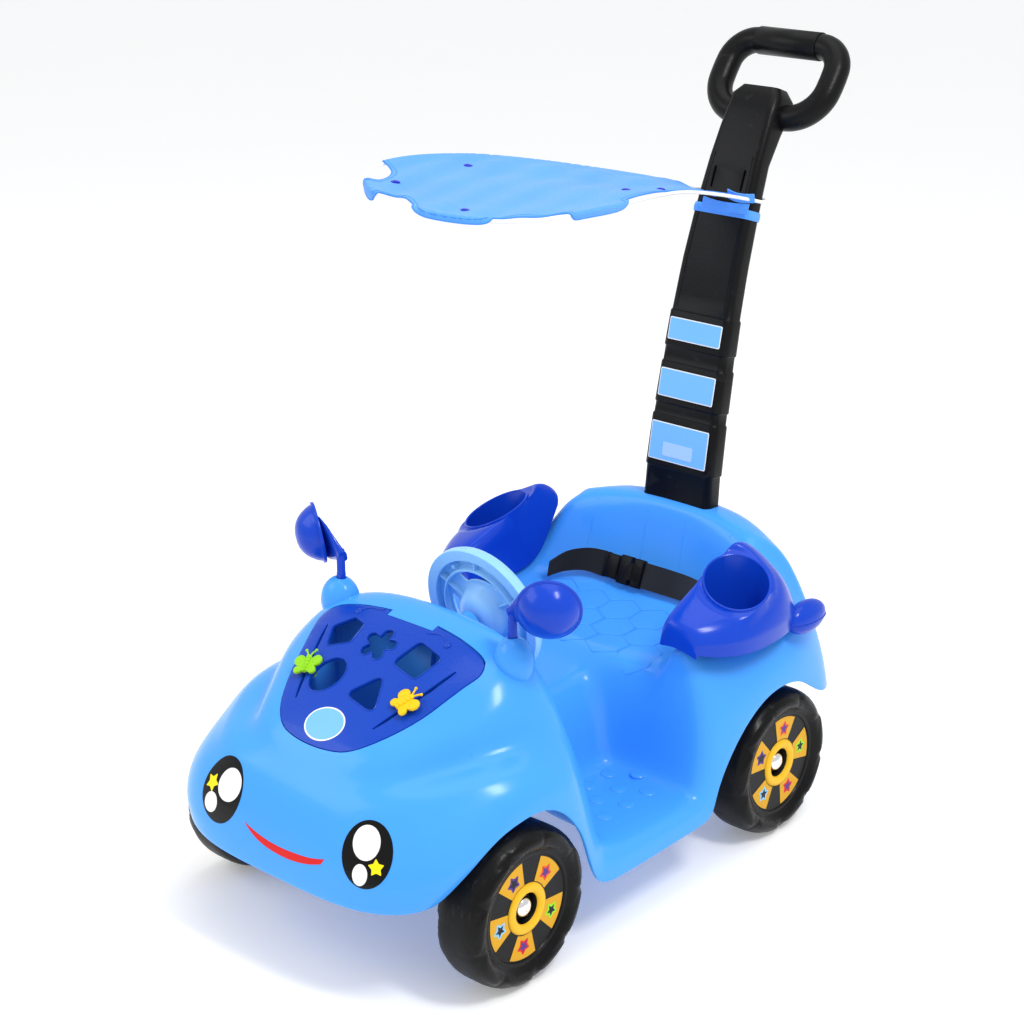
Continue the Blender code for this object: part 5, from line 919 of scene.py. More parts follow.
BODY_SECTIONS = [
    # Nose, from its lower edge up to the bonnet
    [(0.000, -0.147, 0.105), (0.043, -0.147, 0.105), (0.083, -0.145, 0.105), (0.114, -0.140, 0.106),
     (0.137, -0.132, 0.108), (0.153, -0.123, 0.110), (0.163, -0.114, 0.112), (0.169, -0.106, 0.114),
     (0.171, -0.100, 0.115), (0.173, -0.094, 0.116)],
    [(0.000, -0.147, 0.128), (0.044, -0.147, 0.128), (0.086, -0.145, 0.128), (0.119, -0.141, 0.129),
     (0.143, -0.134, 0.130), (0.160, -0.124, 0.131), (0.171, -0.114, 0.131), (0.179, -0.104, 0.130),
     (0.182, -0.096, 0.129), (0.183, -0.088, 0.128)],
    [(0.000, -0.140, 0.162), (0.044, -0.139, 0.162), (0.086, -0.137, 0.161), (0.120, -0.131, 0.160),
     (0.146, -0.122, 0.159), (0.165, -0.111, 0.158), (0.179, -0.099, 0.156), (0.189, -0.087, 0.154),
     (0.193, -0.077, 0.152), (0.194, -0.067, 0.150)],
    [(0.000, -0.123, 0.198), (0.043, -0.121, 0.198), (0.084, -0.117, 0.196), (0.116, -0.110, 0.193),
     (0.143, -0.100, 0.188), (0.163, -0.088, 0.183), (0.179, -0.076, 0.178), (0.190, -0.064, 0.172),
     (0.196, -0.056, 0.167), (0.1975, -0.050, 0.1635)],
    [(0.000, -0.094, 0.233), (0.042, -0.093, 0.233), (0.081, -0.090, 0.229), (0.109, -0.083, 0.220),
     (0.135, -0.073, 0.211), (0.159, -0.061, 0.205), (0.178, -0.049, 0.198), (0.191, -0.037, 0.188),
     (0.197, -0.030, 0.180), (0.199, -0.027, 0.1745)],
    # Bonnet, with the fender beside it
    [(0.000, -0.055, 0.258), (0.044, -0.055, 0.258), (0.084, -0.053, 0.253), (0.109, -0.048, 0.240),
     (0.130, -0.040, 0.228), (0.156, -0.032, 0.221), (0.179, -0.023, 0.214), (0.195, -0.013, 0.204),
     (0.201, -0.007, 0.192), (0.2025, -0.004, 0.181)],
    [(0.000, -0.020, 0.279), (0.046, -0.020, 0.279), (0.089, -0.018, 0.275), (0.120, -0.013, 0.263),
     (0.140, -0.008, 0.244), (0.158, -0.002, 0.231), (0.179, 0.005, 0.222), (0.196, 0.012, 0.213),
     (0.204, 0.015, 0.199), (0.2055, 0.016, 0.185)],
    [(0.000, 0.022, 0.304), (0.046, 0.022, 0.304), (0.093, 0.023, 0.301), (0.128, 0.025, 0.290),
     (0.149, 0.027, 0.268), (0.163, 0.031, 0.240), (0.182, 0.034, 0.226), (0.199, 0.038, 0.215),
     (0.207, 0.038, 0.200), (0.209, 0.036, 0.182)],
    [(0.000, 0.058, 0.321), (0.046, 0.058, 0.321), (0.093, 0.058, 0.317), (0.129, 0.058, 0.304),
     (0.151, 0.058, 0.279), (0.166, 0.060, 0.243), (0.185, 0.062, 0.224), (0.201, 0.062, 0.211),
     (0.209, 0.060, 0.190), (0.211, 0.055, 0.169)],
    [(0.000, 0.083, 0.326), (0.046, 0.083, 0.325), (0.092, 0.083, 0.319), (0.128, 0.083, 0.304),
     (0.151, 0.083, 0.278), (0.168, 0.084, 0.242), (0.186, 0.084, 0.220), (0.202, 0.080, 0.200),
     (0.210, 0.074, 0.172), (0.212, 0.069, 0.151)],
    # Over the rear edge of the bonnet and down the dashboard
    [(0.000, 0.099, 0.323), (0.044, 0.099, 0.322), (0.088, 0.099, 0.315), (0.124, 0.100, 0.299),
     (0.147, 0.101, 0.272), (0.164, 0.102, 0.235), (0.182, 0.101, 0.207), (0.198, 0.095, 0.180),
     (0.209, 0.087, 0.152), (0.2125, 0.080, 0.134)],
    [(0.000, 0.109, 0.308), (0.042, 0.109, 0.307), (0.084, 0.110, 0.300), (0.118, 0.112, 0.283),
     (0.142, 0.114, 0.256), (0.160, 0.115, 0.220), (0.178, 0.114, 0.189), (0.195, 0.108, 0.157),
     (0.208, 0.098, 0.128), (0.213, 0.088, 0.108)],
    [(0.000, 0.118, 0.278), (0.036, 0.118, 0.277), (0.074, 0.119, 0.268), (0.108, 0.121, 0.243),
     (0.132, 0.123, 0.216), (0.153, 0.125, 0.184), (0.174, 0.125, 0.155), (0.194, 0.118, 0.128),
     (0.208, 0.107, 0.104), (0.2135, 0.096, 0.087)],
    [(0.000, 0.127, 0.240), (0.034, 0.127, 0.239), (0.066, 0.127, 0.226), (0.088, 0.128, 0.180),
     (0.115, 0.129, 0.160), (0.143, 0.130, 0.140), (0.172, 0.130, 0.122), (0.196, 0.125, 0.108),
     (0.210, 0.114, 0.092), (0.214, 0.104, 0.073)],
    # Footwell with the tunnel between the legs
    [(0.000, 0.140, 0.208), (0.034, 0.140, 0.207), (0.060, 0.138, 0.200), (0.072, 0.135, 0.125),
     (0.092, 0.134, 0.108), (0.128, 0.134, 0.104), (0.168, 0.135, 0.103), (0.197, 0.136, 0.101),
     (0.211, 0.130, 0.090), (0.2145, 0.120, 0.067)],
    [(0.000, 0.165, 0.201), (0.034, 0.165, 0.200), (0.060, 0.165, 0.193), (0.071, 0.162, 0.108),
     (0.084, 0.160, 0.098), (0.128, 0.158, 0.098), (0.170, 0.158, 0.098), (0.198, 0.157, 0.097),
     (0.212, 0.152, 0.089), (0.2145, 0.145, 0.066)],
    [(0.000, 0.260, 0.204), (0.034, 0.260, 0.203), (0.062, 0.258, 0.196), (0.072, 0.262, 0.108),
     (0.084, 0.264, 0.098), (0.128, 0.266, 0.098), (0.170, 0.266, 0.098), (0.197, 0.264, 0.097),
     (0.212, 0.268, 0.090), (0.2145, 0.272, 0.069)],
    [(0.000, 0.282, 0.212), (0.036, 0.280, 0.211), (0.070, 0.276, 0.203), (0.078, 0.280, 0.114),
     (0.090, 0.283, 0.103), (0.128, 0.286, 0.102), (0.168, 0.284, 0.102), (0.197, 0.280, 0.101),
     (0.211, 0.284, 0.094), (0.2145, 0.289, 0.071)],
    # Up the front of the seat
    [(0.000, 0.292, 0.219), (0.044, 0.290, 0.219), (0.086, 0.287, 0.211), (0.106, 0.290, 0.150),
     (0.120, 0.293, 0.140), (0.142, 0.296, 0.165), (0.164, 0.296, 0.165), (0.190, 0.293, 0.145),
     (0.208, 0.293, 0.113), (0.2145, 0.298, 0.079)],
    [(0.000, 0.302, 0.224), (0.048, 0.301, 0.224), (0.093, 0.298, 0.220), (0.122, 0.296, 0.210),
     (0.137, 0.296, 0.222), (0.148, 0.298, 0.256), (0.162, 0.301, 0.258), (0.184, 0.301, 0.210),
     (0.206, 0.302, 0.150), (0.2145, 0.304, 0.101)],
    # Seat and its side rails, low where the armrests sit over them
    [(0.000, 0.318, 0.222), (0.050, 0.318, 0.222), (0.096, 0.318, 0.222), (0.124, 0.316, 0.225),
     (0.138, 0.315, 0.236), (0.150, 0.314, 0.250), (0.165, 0.314, 0.251), (0.188, 0.314, 0.228),
     (0.208, 0.315, 0.172), (0.2145, 0.320, 0.128)],
    [(0.000, 0.350, 0.222), (0.050, 0.350, 0.222), (0.097, 0.350, 0.222), (0.125, 0.350, 0.225),
     (0.139, 0.350, 0.233), (0.150, 0.350, 0.240), (0.165, 0.350, 0.241), (0.190, 0.350, 0.228),
     (0.209, 0.350, 0.198), (0.214, 0.350, 0.160)],
    [(0.000, 0.388, 0.224), (0.050, 0.388, 0.224), (0.097, 0.388, 0.224), (0.125, 0.388, 0.227),
     (0.139, 0.388, 0.234), (0.150, 0.388, 0.240), (0.165, 0.388, 0.241), (0.190, 0.390, 0.231),
     (0.208, 0.390, 0.212), (0.2135, 0.390, 0.183)],
    [(0.000, 0.426, 0.229), (0.050, 0.426, 0.229), (0.094, 0.425, 0.230), (0.122, 0.424, 0.233),
     (0.136, 0.423, 0.237), (0.147, 0.424, 0.243), (0.160, 0.427, 0.245), (0.184, 0.430, 0.236),
     (0.206, 0.430, 0.220), (0.213, 0.428, 0.186)],
    # Backrest, its rim and the back of the body
    [(0.000, 0.458, 0.238), (0.048, 0.456, 0.238), (0.088, 0.450, 0.242), (0.112, 0.446, 0.254),
     (0.126, 0.446, 0.274), (0.134, 0.449, 0.290), (0.148, 0.456, 0.292), (0.177, 0.466, 0.258),
     (0.204, 0.468, 0.218), (0.2115, 0.462, 0.178)],
    [(0.000, 0.474, 0.262), (0.048, 0.472, 0.263), (0.086, 0.464, 0.270), (0.108, 0.459, 0.285),
     (0.121, 0.460, 0.302), (0.129, 0.464, 0.312), (0.145, 0.472, 0.306), (0.174, 0.487, 0.258),
     (0.202, 0.493, 0.205), (0.209, 0.489, 0.159)],
    [(0.000, 0.481, 0.318), (0.046, 0.479, 0.318), (0.084, 0.471, 0.318), (0.106, 0.468, 0.318),
     (0.119, 0.470, 0.319), (0.128, 0.477, 0.317), (0.143, 0.489, 0.304), (0.170, 0.507, 0.252),
     (0.199, 0.516, 0.192), (0.207, 0.515, 0.143)],
    [(0.000, 0.487, 0.333), (0.046, 0.487, 0.332), (0.086, 0.485, 0.329), (0.108, 0.485, 0.326),
     (0.126, 0.489, 0.321), (0.137, 0.497, 0.314), (0.150, 0.509, 0.298), (0.168, 0.526, 0.248),
     (0.190, 0.534, 0.188), (0.199, 0.534, 0.144)],
    [(0.000, 0.530, 0.334), (0.044, 0.529, 0.333), (0.080, 0.524, 0.330), (0.108, 0.518, 0.322),
     (0.126, 0.517, 0.311), (0.138, 0.520, 0.299), (0.149, 0.528, 0.278), (0.161, 0.541, 0.236),
     (0.174, 0.549, 0.188), (0.182, 0.551, 0.147)],
    [(0.000, 0.544, 0.305), (0.044, 0.543, 0.304), (0.080, 0.539, 0.300), (0.104, 0.536, 0.290),
     (0.122, 0.536, 0.275), (0.134, 0.538, 0.261), (0.143, 0.543, 0.243), (0.150, 0.551, 0.212),
     (0.156, 0.557, 0.178), (0.160, 0.560, 0.149)],
    [(0.000, 0.553, 0.240), (0.042, 0.552, 0.240), (0.076, 0.551, 0.236), (0.098, 0.549, 0.230),
     (0.112, 0.550, 0.222), (0.122, 0.551, 0.213), (0.129, 0.554, 0.202), (0.133, 0.558, 0.188),
     (0.136, 0.562, 0.168), (0.138, 0.563, 0.149)],
    [(0.000, 0.562, 0.150), (0.040, 0.562, 0.150), (0.072, 0.562, 0.149), (0.094, 0.563, 0.149),
     (0.104, 0.563, 0.149), (0.111, 0.564, 0.149), (0.116, 0.564, 0.149), (0.120, 0.564, 0.149),
     (0.124, 0.564, 0.149), (0.128, 0.564, 0.149)],
]


class Surface:
    """The outside of the body's skin, asked where it lies in front of a point."""

    def __init__(self, item):
        corners = [vertex.co.copy() for vertex in item.data.vertices]
        self.tree = BVHTree.FromPolygons(corners, [tuple(face.vertices) for face in item.data.polygons])
        self.origin = at_axle(0.0, *LID_FRONT)
        self.slope = (at_axle(0.0, *LID_REAR) - self.origin).normalized()
        self.normal = Vector((1.0, 0.0, 0.0)).cross(self.slope)

    def seen(self, point, direction, height, reach=REACH):
        """The skin hit by a line through a point, that height in front of it."""
        found = self.tree.ray_cast(Vector(point) - direction * reach, direction)[0]
        return found - direction * height

    def lid_point(self, u, v, height):
        """The point u sideways and v up the lid's slope, that high above the bonnet."""
        flat = self.origin + Vector((u, 0.0, 0.0)) + self.slope * v
        return self.seen(flat, -self.normal, height)

    def top(self, x, y, height, start=0.60):
        """The point over x and y, counted from the front axle, that high above the body."""
        return self.seen(at_axle(x, y, start), Vector((0.0, 0.0, -1.0)), height, 0.0)


def slot_outline(side):
    """The slot that a butterfly slides in, with round ends and a slight bow outward."""
    bottom = Vector(SLOT_BOTTOM)
    top = Vector(SLOT_TOP)
    run = (top - bottom).normalized()
    across = Vector((run.y, -run.x))
    points = []
    for edge in (1, -1):
        for step in range(7):
            share = step / 6 if edge > 0 else 1 - step / 6
            bow = SLOT_BOW * 4 * share * (1 - share)
            narrow = 0.45 if step in (0, 6) else 1.0
            points.append(bottom.lerp(top, share) + across * (bow + edge * narrow * SLOT_WIDTH / 2))
    return [(side * point.x, point.y) for point in points]


def lid_outline():
    """The lid's edge: a soft curve from its front round to the step at the hinge, on both sides."""
    start = (-LID_HALF[1][0], LID_HALF[1][1])
    curve = [tuple(point) for point in soft_line([start, *LID_HALF[:-1]], 3)]
    return both_sides(curve[3:] + LID_HALF[-1:])


def lid_holes():
    return [rounded_polygon(PENTAGON, 0.004), soft_star(STAR_CENTRE, 0.0205, 0.0112, math.radians(88)),
            rounded_polygon(SQUARE, 0.007), ellipse_points(OVAL_CENTRE, (0.0185, 0.0225), math.radians(-15)),
            rounded_polygon(TRIANGLE, 0.007)]


def crease(item, strength_at):
    """Keeps a sharper line along some edges of a cage when it is smoothed."""
    layer = item.data.attributes.new("crease_edge", "FLOAT", "EDGE")
    for edge in item.data.edges:
        layer.data[edge.index].value = strength_at(*edge.vertices)


def press_valley(body):
    """Sinks the line between the bonnet and each fender, and lifts the skin a little on both sides of it."""
    line = soft_line([Vector((*at_axle(*spot[:3]), spot[3])) for spot in VALLEY], 6)
    normals = [vertex.normal.copy() for vertex in body.data.vertices]
    for vertex, out in zip(body.data.vertices, normals):
        here = Vector((abs(vertex.co.x), vertex.co.y, vertex.co.z))
        nearest = REACH
        depth = 0.0
        for spot in line:
            away = (here - spot.xyz).length
            if away < nearest:
                nearest = away
                depth = spot.w
        sunk = math.exp(-(nearest / VALLEY_WIDTH) ** 2)
        lifted = math.exp(-((nearest - SHOULDER) / VALLEY_WIDTH) ** 2)
        vertex.co += out * depth * (SHOULDER_RISE * lifted - sunk)


def make_body():
    body = skin("body_moulding", [[at_axle(*point) for point in section] for section in BODY_SECTIONS])

    def strength(first, second):
        row = first // SECTION_POINTS
        return CREASED_SECTIONS.get(row, 0.0) if second // SECTION_POINTS == row else 0.0

    crease(body, strength)
    modify(body, "MIRROR", use_axis=(True, False, False), merge_threshold=0.0001)
    smooth_form(body, BODY_SMOOTHING)
    press_valley(body)
    surface = Surface(body)
    modify(body, "SOLIDIFY", thickness=BODY_WALL, offset=-1.0)
    round_edges(body, 0.0010, 60)
    return body, surface


def open_bonnet(body, surface):
    """Cuts the lid's opening and moulds the toy bin into it."""
    outline = lid_outline()

    def ring(points, height):
        return [surface.lid_point(u, v, height) for u, v in points]

    def floor_ring(points, shrink, z):
        row = []
        for u, v in points:
            over = surface.lid_point(u, v, 0.0)
            row.append(Vector((over.x * shrink, BIN_CENTRE_Y + (over.y - BIN_CENTRE_Y) * shrink, z)))
        return row

    def eased(distance):
        """The lid's outline grown, with room behind the hinge for its rear edge to swing."""
        rows = []
        for (u, v), (_, lid_v) in zip(grown(outline, distance), outline):
            behind = lid_v > LID_SHELF and lid_v != NOTCH_FRONT
            rows.append((u, v + REAR_EASE if behind else v))
        return rows

    opening = eased(LID_CLEARANCE)
    walls = [ring(opening, -OPENING_REACH), ring(opening, OPENING_REACH)]
    carve(body, skin("lid_opening", walls, closed=True))
    outer = eased(LID_CLEARANCE + BIN_WALL)
    lining = eased(LID_CLEARANCE - OVERLAP)
    ledge = []
    for (u, v), shelf in zip(lining, grown(outline, -LEDGE_WIDTH)):
        ledge.append((u * 0.996, v - OVERLAP) if v > LID_SHELF else shelf)
    depth = LID_THICKNESS + OVERLAP
    rings = [floor_ring(outer, BIN_NARROWING, BIN_FLOOR), ring(outer, -BIN_LIP), ring(lining, -BIN_LIP),
             ring(lining, -depth), ring(ledge, -depth - OVERLAP),
             floor_ring(ledge, BIN_INNER_NARROWING, BIN_FLOOR + BIN_WALL)]
    carve(body, skin("toy_bin", rings, closed=True), "UNION")


def carry_axles(body, surface):
    """Ribs that hang from the inside of the body and carry the axles."""
    for axle_y, depth in ((AXLE_Y, FRONT_POST_DEPTH), (REAR_AXLE_Y, REAR_POST_DEPTH)):
        for side in (1, -1):
            corners = [(side * POST_INNER, -POST_HALF_DEPTH), (side * POST_OUTER, -POST_HALF_DEPTH),
                       (side * POST_OUTER, POST_HALF_DEPTH), (side * POST_INNER, POST_HALF_DEPTH)]
            foot = [Vector((x, axle_y + y, POST_FOOT)) for x, y in corners]
            head = [surface.top(point.x, point.y - AXLE_Y, -depth) for point in foot]
            carve(body, skin("axle_post", [foot, head], closed=True), "UNION")


def mirror_seats(body):
    """Egg-shaped seats on the bonnet's shoulders, each with a socket for a mirror's stalk."""
    for side in (1, -1):
        foot = Vector((side * MIRROR_FOOT.x, MIRROR_FOOT.y, MIRROR_FOOT.z))
        middle = foot + Vector((side * 0.002, 0.0, -MIRROR_SEAT_DROP))
        carve(body, ball("mirror_seat", middle, MIRROR_SEAT_RADII, sides=40), "UNION")
        place = Matrix.Translation(foot + Vector((0.0, 0.0, -0.0135)))
        carve(body, rod("mirror_socket", MIRROR_SOCKET_RADIUS, MIRROR_SOCKET_DEPTH, place, 32))


def dress_seat(surface):
    """Raised honeycomb on the seat, soft studs in the footwells and faint ribs up the backrest."""
    cells = []
    for row, y in enumerate(CELL_ROWS):
        for column in range(-2, 3):
            x = CELL_PITCH * column + (CELL_PITCH / 2 if row % 2 else 0.0)
            if abs(x) >= CELLS_HALF_WIDTH:
                continue
            angles = [math.tau * step / 6 for step in range(6)]
            corners = [(x + CELL_RADIUS * math.sin(angle), y + CELL_RADIUS * math.cos(angle))
                       for angle in angles]
            line = rounded_polygon(corners, 0.006, 3)
            cells.append(tube("cell", [surface.top(u, v, 0.0001) for u, v in line], 0.0008, True, 2, 2))
    complete(merge("seat_honeycomb", cells), LIGHT_BLUE, "chassis", "body_light_blue")
    studs = []
    for side in (1, -1):
        for x, y in STUD_SPOTS:
            here = surface.top(side * x, y, 0.0)
            studs.append(lathe("stud", STUD_PROFILE, Matrix.Translation(here), 28))
    complete(merge("footwell_studs", studs), LIGHT_BLUE, "chassis", "body_light_blue")
    ribs = []
    for x in BACK_RIBS:
        line = [surface.seen(at_axle(x, 0.400, z), Vector((0.0, 1.0, 0.0)), -0.0009, 0.0)
                for z in BACK_RIB_HEIGHTS]
        ribs.append(tube("rib", line, 0.0013, False, 2, 4))
    complete(merge("backrest_ribs", ribs), LIGHT_BLUE, "chassis", "body_light_blue")


def make_lid(surface):
    """The royal blue plate, laid on the bonnet's own curve, with its holes, raised rims and hinge bosses."""
    holes = lid_holes()
    lid = flat_shape("sorter_lid_plate", [lid_outline()] + holes + [slot_outline(1), slot_outline(-1)],
                     LID_THICKNESS, 0.008)
    drape(lid, lambda u, v, height: surface.lid_point(u, v, height - LID_THICKNESS / 2 + 0.0003))
    round_edges(lid, 0.0004, 50)
    rims = []
    for hole in holes:
        edge = soft_line(grown(hole, RIM_INSET), 2, True)
        rims.append(tube("rim", [surface.lid_point(u, v, 0.0004) for u, v in edge], RIM_RADIUS, True, 2, 2))
    for foot, bend, end in HINGE_BLOBS:
        rims.append(ball("hinge_boss", surface.lid_point(*foot, 0.0002), (0.0042, 0.0042, 0.0026),
                         surface.normal.to_track_quat("Z", "Y").to_matrix().to_4x4(), 20))
        rims.append(tube("hinge_rib", [surface.lid_point(u, v, 0.0003) for u, v in (foot, bend, end)], 0.0012,
                         False, 3, 8))
    pins = [rod("hinge_pin", 0.0008, 0.009, facing((side * 0.0325, LID_HINGE.y, LID_HINGE.z), (1, 0, 0)), 12)
            for side in (-1, 1)]
    complete(lid, LID_BLUE, "lid", "trim_royal_blue", "sorter_lid")
    complete(merge("lid_rims", rims + pins), LID_BLUE, "lid", "trim_royal_blue")


def film(name, outline, point_on, look, body, slot, rise, spacing=0.006):
    """A thin printed sticker laid on a surface."""
    sticker = flat_shape(name, [outline], FILM_THICKNESS, spacing)
    drape(sticker, lambda u, v, height: point_on(u, v, height + rise))
    return complete(sticker, look, body, slot, angle=60)


def make_badge(surface):
    """A bare oval badge: a white rim round a plain light blue field."""
    def on_lid(u, v, height):
        return surface.lid_point(u, v, height + 0.0003)

    rim = ellipse_points(BADGE_CENTRE, BADGE_RADII)
    field = ellipse_points(BADGE_CENTRE, [radius - BADGE_BORDER for radius in BADGE_RADII])
    film("badge_rim", rim, on_lid, FILM_WHITE, "lid", "label_film", 0.0003)
    film("badge_field", field, on_lid, LABEL, "lid", "label_film", 0.0005)


def make_face(surface):
    """The face on the nose: two dark oval eyes with white glints and a yellow star, and a red smile."""
    for label, centre, across, up, shapes in EYES:
        u_axis = Vector(across).normalized()
        v_axis = (Vector(up) - u_axis * Vector(up).dot(u_axis)).normalized()
        out = u_axis.cross(v_axis)
        middle = at_axle(*centre)

        def on_nose(u, v, height):
            return surface.seen(middle + u_axis * u + v_axis * v, -out, height)

        for index, (kind, place, radii, turn) in enumerate(shapes):
            look = {"eye": EYE_BLACK, "glint": FILM_WHITE, "star": FILM_YELLOW}[kind]
            if kind == "star":
                outline = rounded_polygon(sharp_star(place, radii[0], radii[1], turn), 0.0006, 3)
            else:
                outline = ellipse_points(place, radii, turn, 48)
            rise = 0.0002 if index == 0 else 0.0004
            film(f"{kind}_{label}_{index}", outline, on_nose, look, "chassis", "label_film", rise)

    def on_front(x, z, height):
        return surface.seen((x, AXLE_Y - 0.150, z), Vector((0.0, 1.0, 0.0)), height)

    smile = [tuple(point) for edge in (SMILE_TOP, SMILE_BOTTOM) for point in soft_line(edge, 4)]
    film("smile", smile, on_front, FILM_RED, "chassis", "label_film", 0.0002, 0.004)


def wing_outline():
    """Four round wing lobes about a body that points along +v."""
    left = [(-u, v) for u, v in reversed(WING_HALF[1:-1])]
    return WING_HALF + left


def make_butterfly(label, look, side, body, surface, slot):
    """The rider above the slot: winged plate with domed lobes, a segmented body, two feelers and its stem."""
    low = surface.lid_point(side * SLOT_BOTTOM[0], SLOT_BOTTOM[1], 0.0)
    high = surface.lid_point(side * SLOT_TOP[0], SLOT_TOP[1], 0.0)
    middle = Vector(SLOT_BOTTOM).lerp(Vector(SLOT_TOP), BUTTERFLY_REST)
    rest = surface.lid_point(side * middle.x, middle.y, 0.0)
    along = (high - low).normalized()
    across = along.cross(surface.normal).normalized()
    place = Matrix.Translation(rest) @ seen_from(across, along, across.cross(along))
    plate = flat_shape("wings", [wing_outline()], WING_THICKNESS)
    plate.data.transform(Matrix.Translation((0.0, 0.0, BUTTERFLY_LIFT + WING_THICKNESS / 2)))
    round_edges(plate, 0.0008, 50, 3)
    pieces = [plate]
    crown = BUTTERFLY_LIFT + WING_THICKNESS
    for u, v, radius in WING_LOBES:
        for half in (1, -1):
            pieces.append(ball("lobe", (half * u, v, crown - 0.0004), (radius, radius, 0.0014), sides=20))
    for v, radius in BODY_BEADS:
        pieces.append(ball("segment", (0.0, v, crown), (radius, radius * 0.95, 0.0021), sides=20))
    for half in (1, -1):
        tip = Vector((half * 0.0058, 0.0158, crown + 0.0002))
        line = [(half * 0.0014, 0.0086, crown), (half * 0.0032, 0.0122, crown + 0.0004), tip]
        pieces.append(tube("feeler", line, 0.0010, False, 3, 4))
        pieces.append(ball("feeler_tip", tip, (0.0017, 0.0017, 0.0015), sides=16))
    pieces.append(block("stem", STEM_SIZE, Matrix.Translation((0.0, 0.0, -0.0015)), 0.0))
    rider = merge(f"butterfly_rider_{label}", pieces)
    rider.data.transform(place)
    complete(rider, look, body, slot, f"butterfly_{label}")


# Running gear. Profiles are (radius, distance outward from the wheel's middle).

WHEEL_PROFILE = [(0.0044, 0.0100), (0.0085, 0.0092), (0.0140, 0.0092), (0.0158, 0.0110), (0.0163, 0.0195),
                 (0.0172, 0.0209), (0.0300, 0.0209), (0.0450, 0.0209), (0.0562, 0.0209), (0.0570, 0.0222),
                 (0.0590, 0.0228), (0.0610, 0.0226), (0.0630, 0.0240), (0.0650, 0.0262), (0.0672, 0.0279),
                 (0.0694, 0.0287), (0.0716, 0.0288), (0.0738, 0.0284), (0.0760, 0.0276), (0.0782, 0.0263),
                 (0.0803, 0.0246), (0.0821, 0.0225), (0.0835, 0.0200), (0.0843, 0.0172), (0.0847, 0.0140),
                 (0.0849, 0.0100), (0.0850, 0.0050), (0.0850, 0.0010), (0.0853, 0.0), (0.0850, -0.0010),
                 (0.0850, -0.0050), (0.0849, -0.0100), (0.0847, -0.0140), (0.0843, -0.0172),
                 (0.0835, -0.0200), (0.0821, -0.0225), (0.0803, -0.0246), (0.0782, -0.0263),
                 (0.0760, -0.0276), (0.0700, -0.0285), (0.0560, -0.0280), (0.0550, -0.0240),
                 (0.0200, -0.0240), (0.0190, -0.0285), (0.0044, -0.0285)]
HUB_RING_PROFILE = [(0.0165, 0.0180), (0.0168, 0.0213), (0.0182, 0.0229), (0.0205, 0.0238), (0.0228, 0.0240),
                    (0.0250, 0.0236), (0.0268, 0.0225), (0.0276, 0.0210), (0.0276, 0.0200)]
CAP_PROFILE = [(0.0, 0.0232), (0.0022, 0.0230), (0.0026, 0.0222), (0.0052, 0.0216), (0.0080, 0.0203),
               (0.0100, 0.0186), (0.0110, 0.0166), (0.0112, 0.0150), (0.0120, 0.0146), (0.0120, 0.0131),
               (0.0050, 0.0131)]
LEAVES = 9
LEAF_RISE = 0.0026
LEAF_SPAN = (0.0655, 0.0848)
SEGMENT_RADII = (0.0285, 0.0544)
SEGMENT_HALF_ANGLE = 0.363
STAR_PLACE = 0.0405
STAR_LOOKS = [(FILM_ORANGE_RED, FILM_VIOLET), (FILM_GREEN, FILM_DARK), (FILM_RED, FILM_VIOLET),
              (FILM_SKY, FILM_DARK), (FILM_VIOLET, FILM_DARK)]


def mould_tread(wheel):
    """Raises leaf-shaped pads round both shoulders, with a notch between them, as the tyre is moulded."""
    for vertex in wheel.data.vertices:
        radius = math.hypot(vertex.co.x, vertex.co.y)
        if not LEAF_SPAN[0] < radius:
            continue
        turn = math.atan2(vertex.co.y, vertex.co.x) * LEAVES / math.tau
        if vertex.co.z < 0.0:
            turn += 0.5
        share = turn - math.floor(turn)
        down = min(1.0, max(0.0, (radius - LEAF_SPAN[0]) / (LEAF_SPAN[1] - LEAF_SPAN[0])))
        shoulder = min(1.0, max(0.0, (abs(vertex.co.z) - 0.0110) / 0.0060))
        # A lens that is widest in its middle and runs out in a point at one end
        middle = 0.30 + 0.42 * share
        half = 0.34 * math.sqrt(max(0.0, math.sin(math.pi * min(1.0, share / 0.90))))
        inside = (half - abs(down - middle)) / 0.09
        height = LEAF_RISE * min(1.0, max(0.0, inside)) * shoulder
        notch = 0.0007 * max(0.0, 1.0 - abs(share - 0.95) / 0.03)
        outward = Vector((vertex.co.x, vertex.co.y, 0.0)) / radius * 0.45
        outward.z = math.copysign(0.8, vertex.co.z)
        vertex.co += outward * (height * 0.6 - LEAF_RISE * 0.6 * shoulder * (radius > 0.0672) * 0.5 - notch)
        reach = math.hypot(vertex.co.x, vertex.co.y)
        if reach > WHEEL_RADIUS:
            vertex.co.x *= WHEEL_RADIUS / reach
            vertex.co.y *= WHEEL_RADIUS / reach


def segment_outline(middle):
    """A sector of a ring, at an angle from the top of the wheel."""
    inner, outer = SEGMENT_RADII
    points = []
    for step in range(13):
        angle = middle + SEGMENT_HALF_ANGLE * (step / 6 - 1)
        points.append((outer * math.sin(angle), outer * math.cos(angle)))
    for step in range(9):
        angle = middle - SEGMENT_HALF_ANGLE * (step / 4 - 1)
        points.append((inner * math.sin(angle), inner * math.cos(angle)))
    return points


def plain_film(name, outline, height, look):
    sticker = flat_shape(name, [outline], FILM_THICKNESS)
    sticker.data.transform(Matrix.Translation((0.0, 0.0, height)))
    sticker.data.materials.append(look)
    return sticker


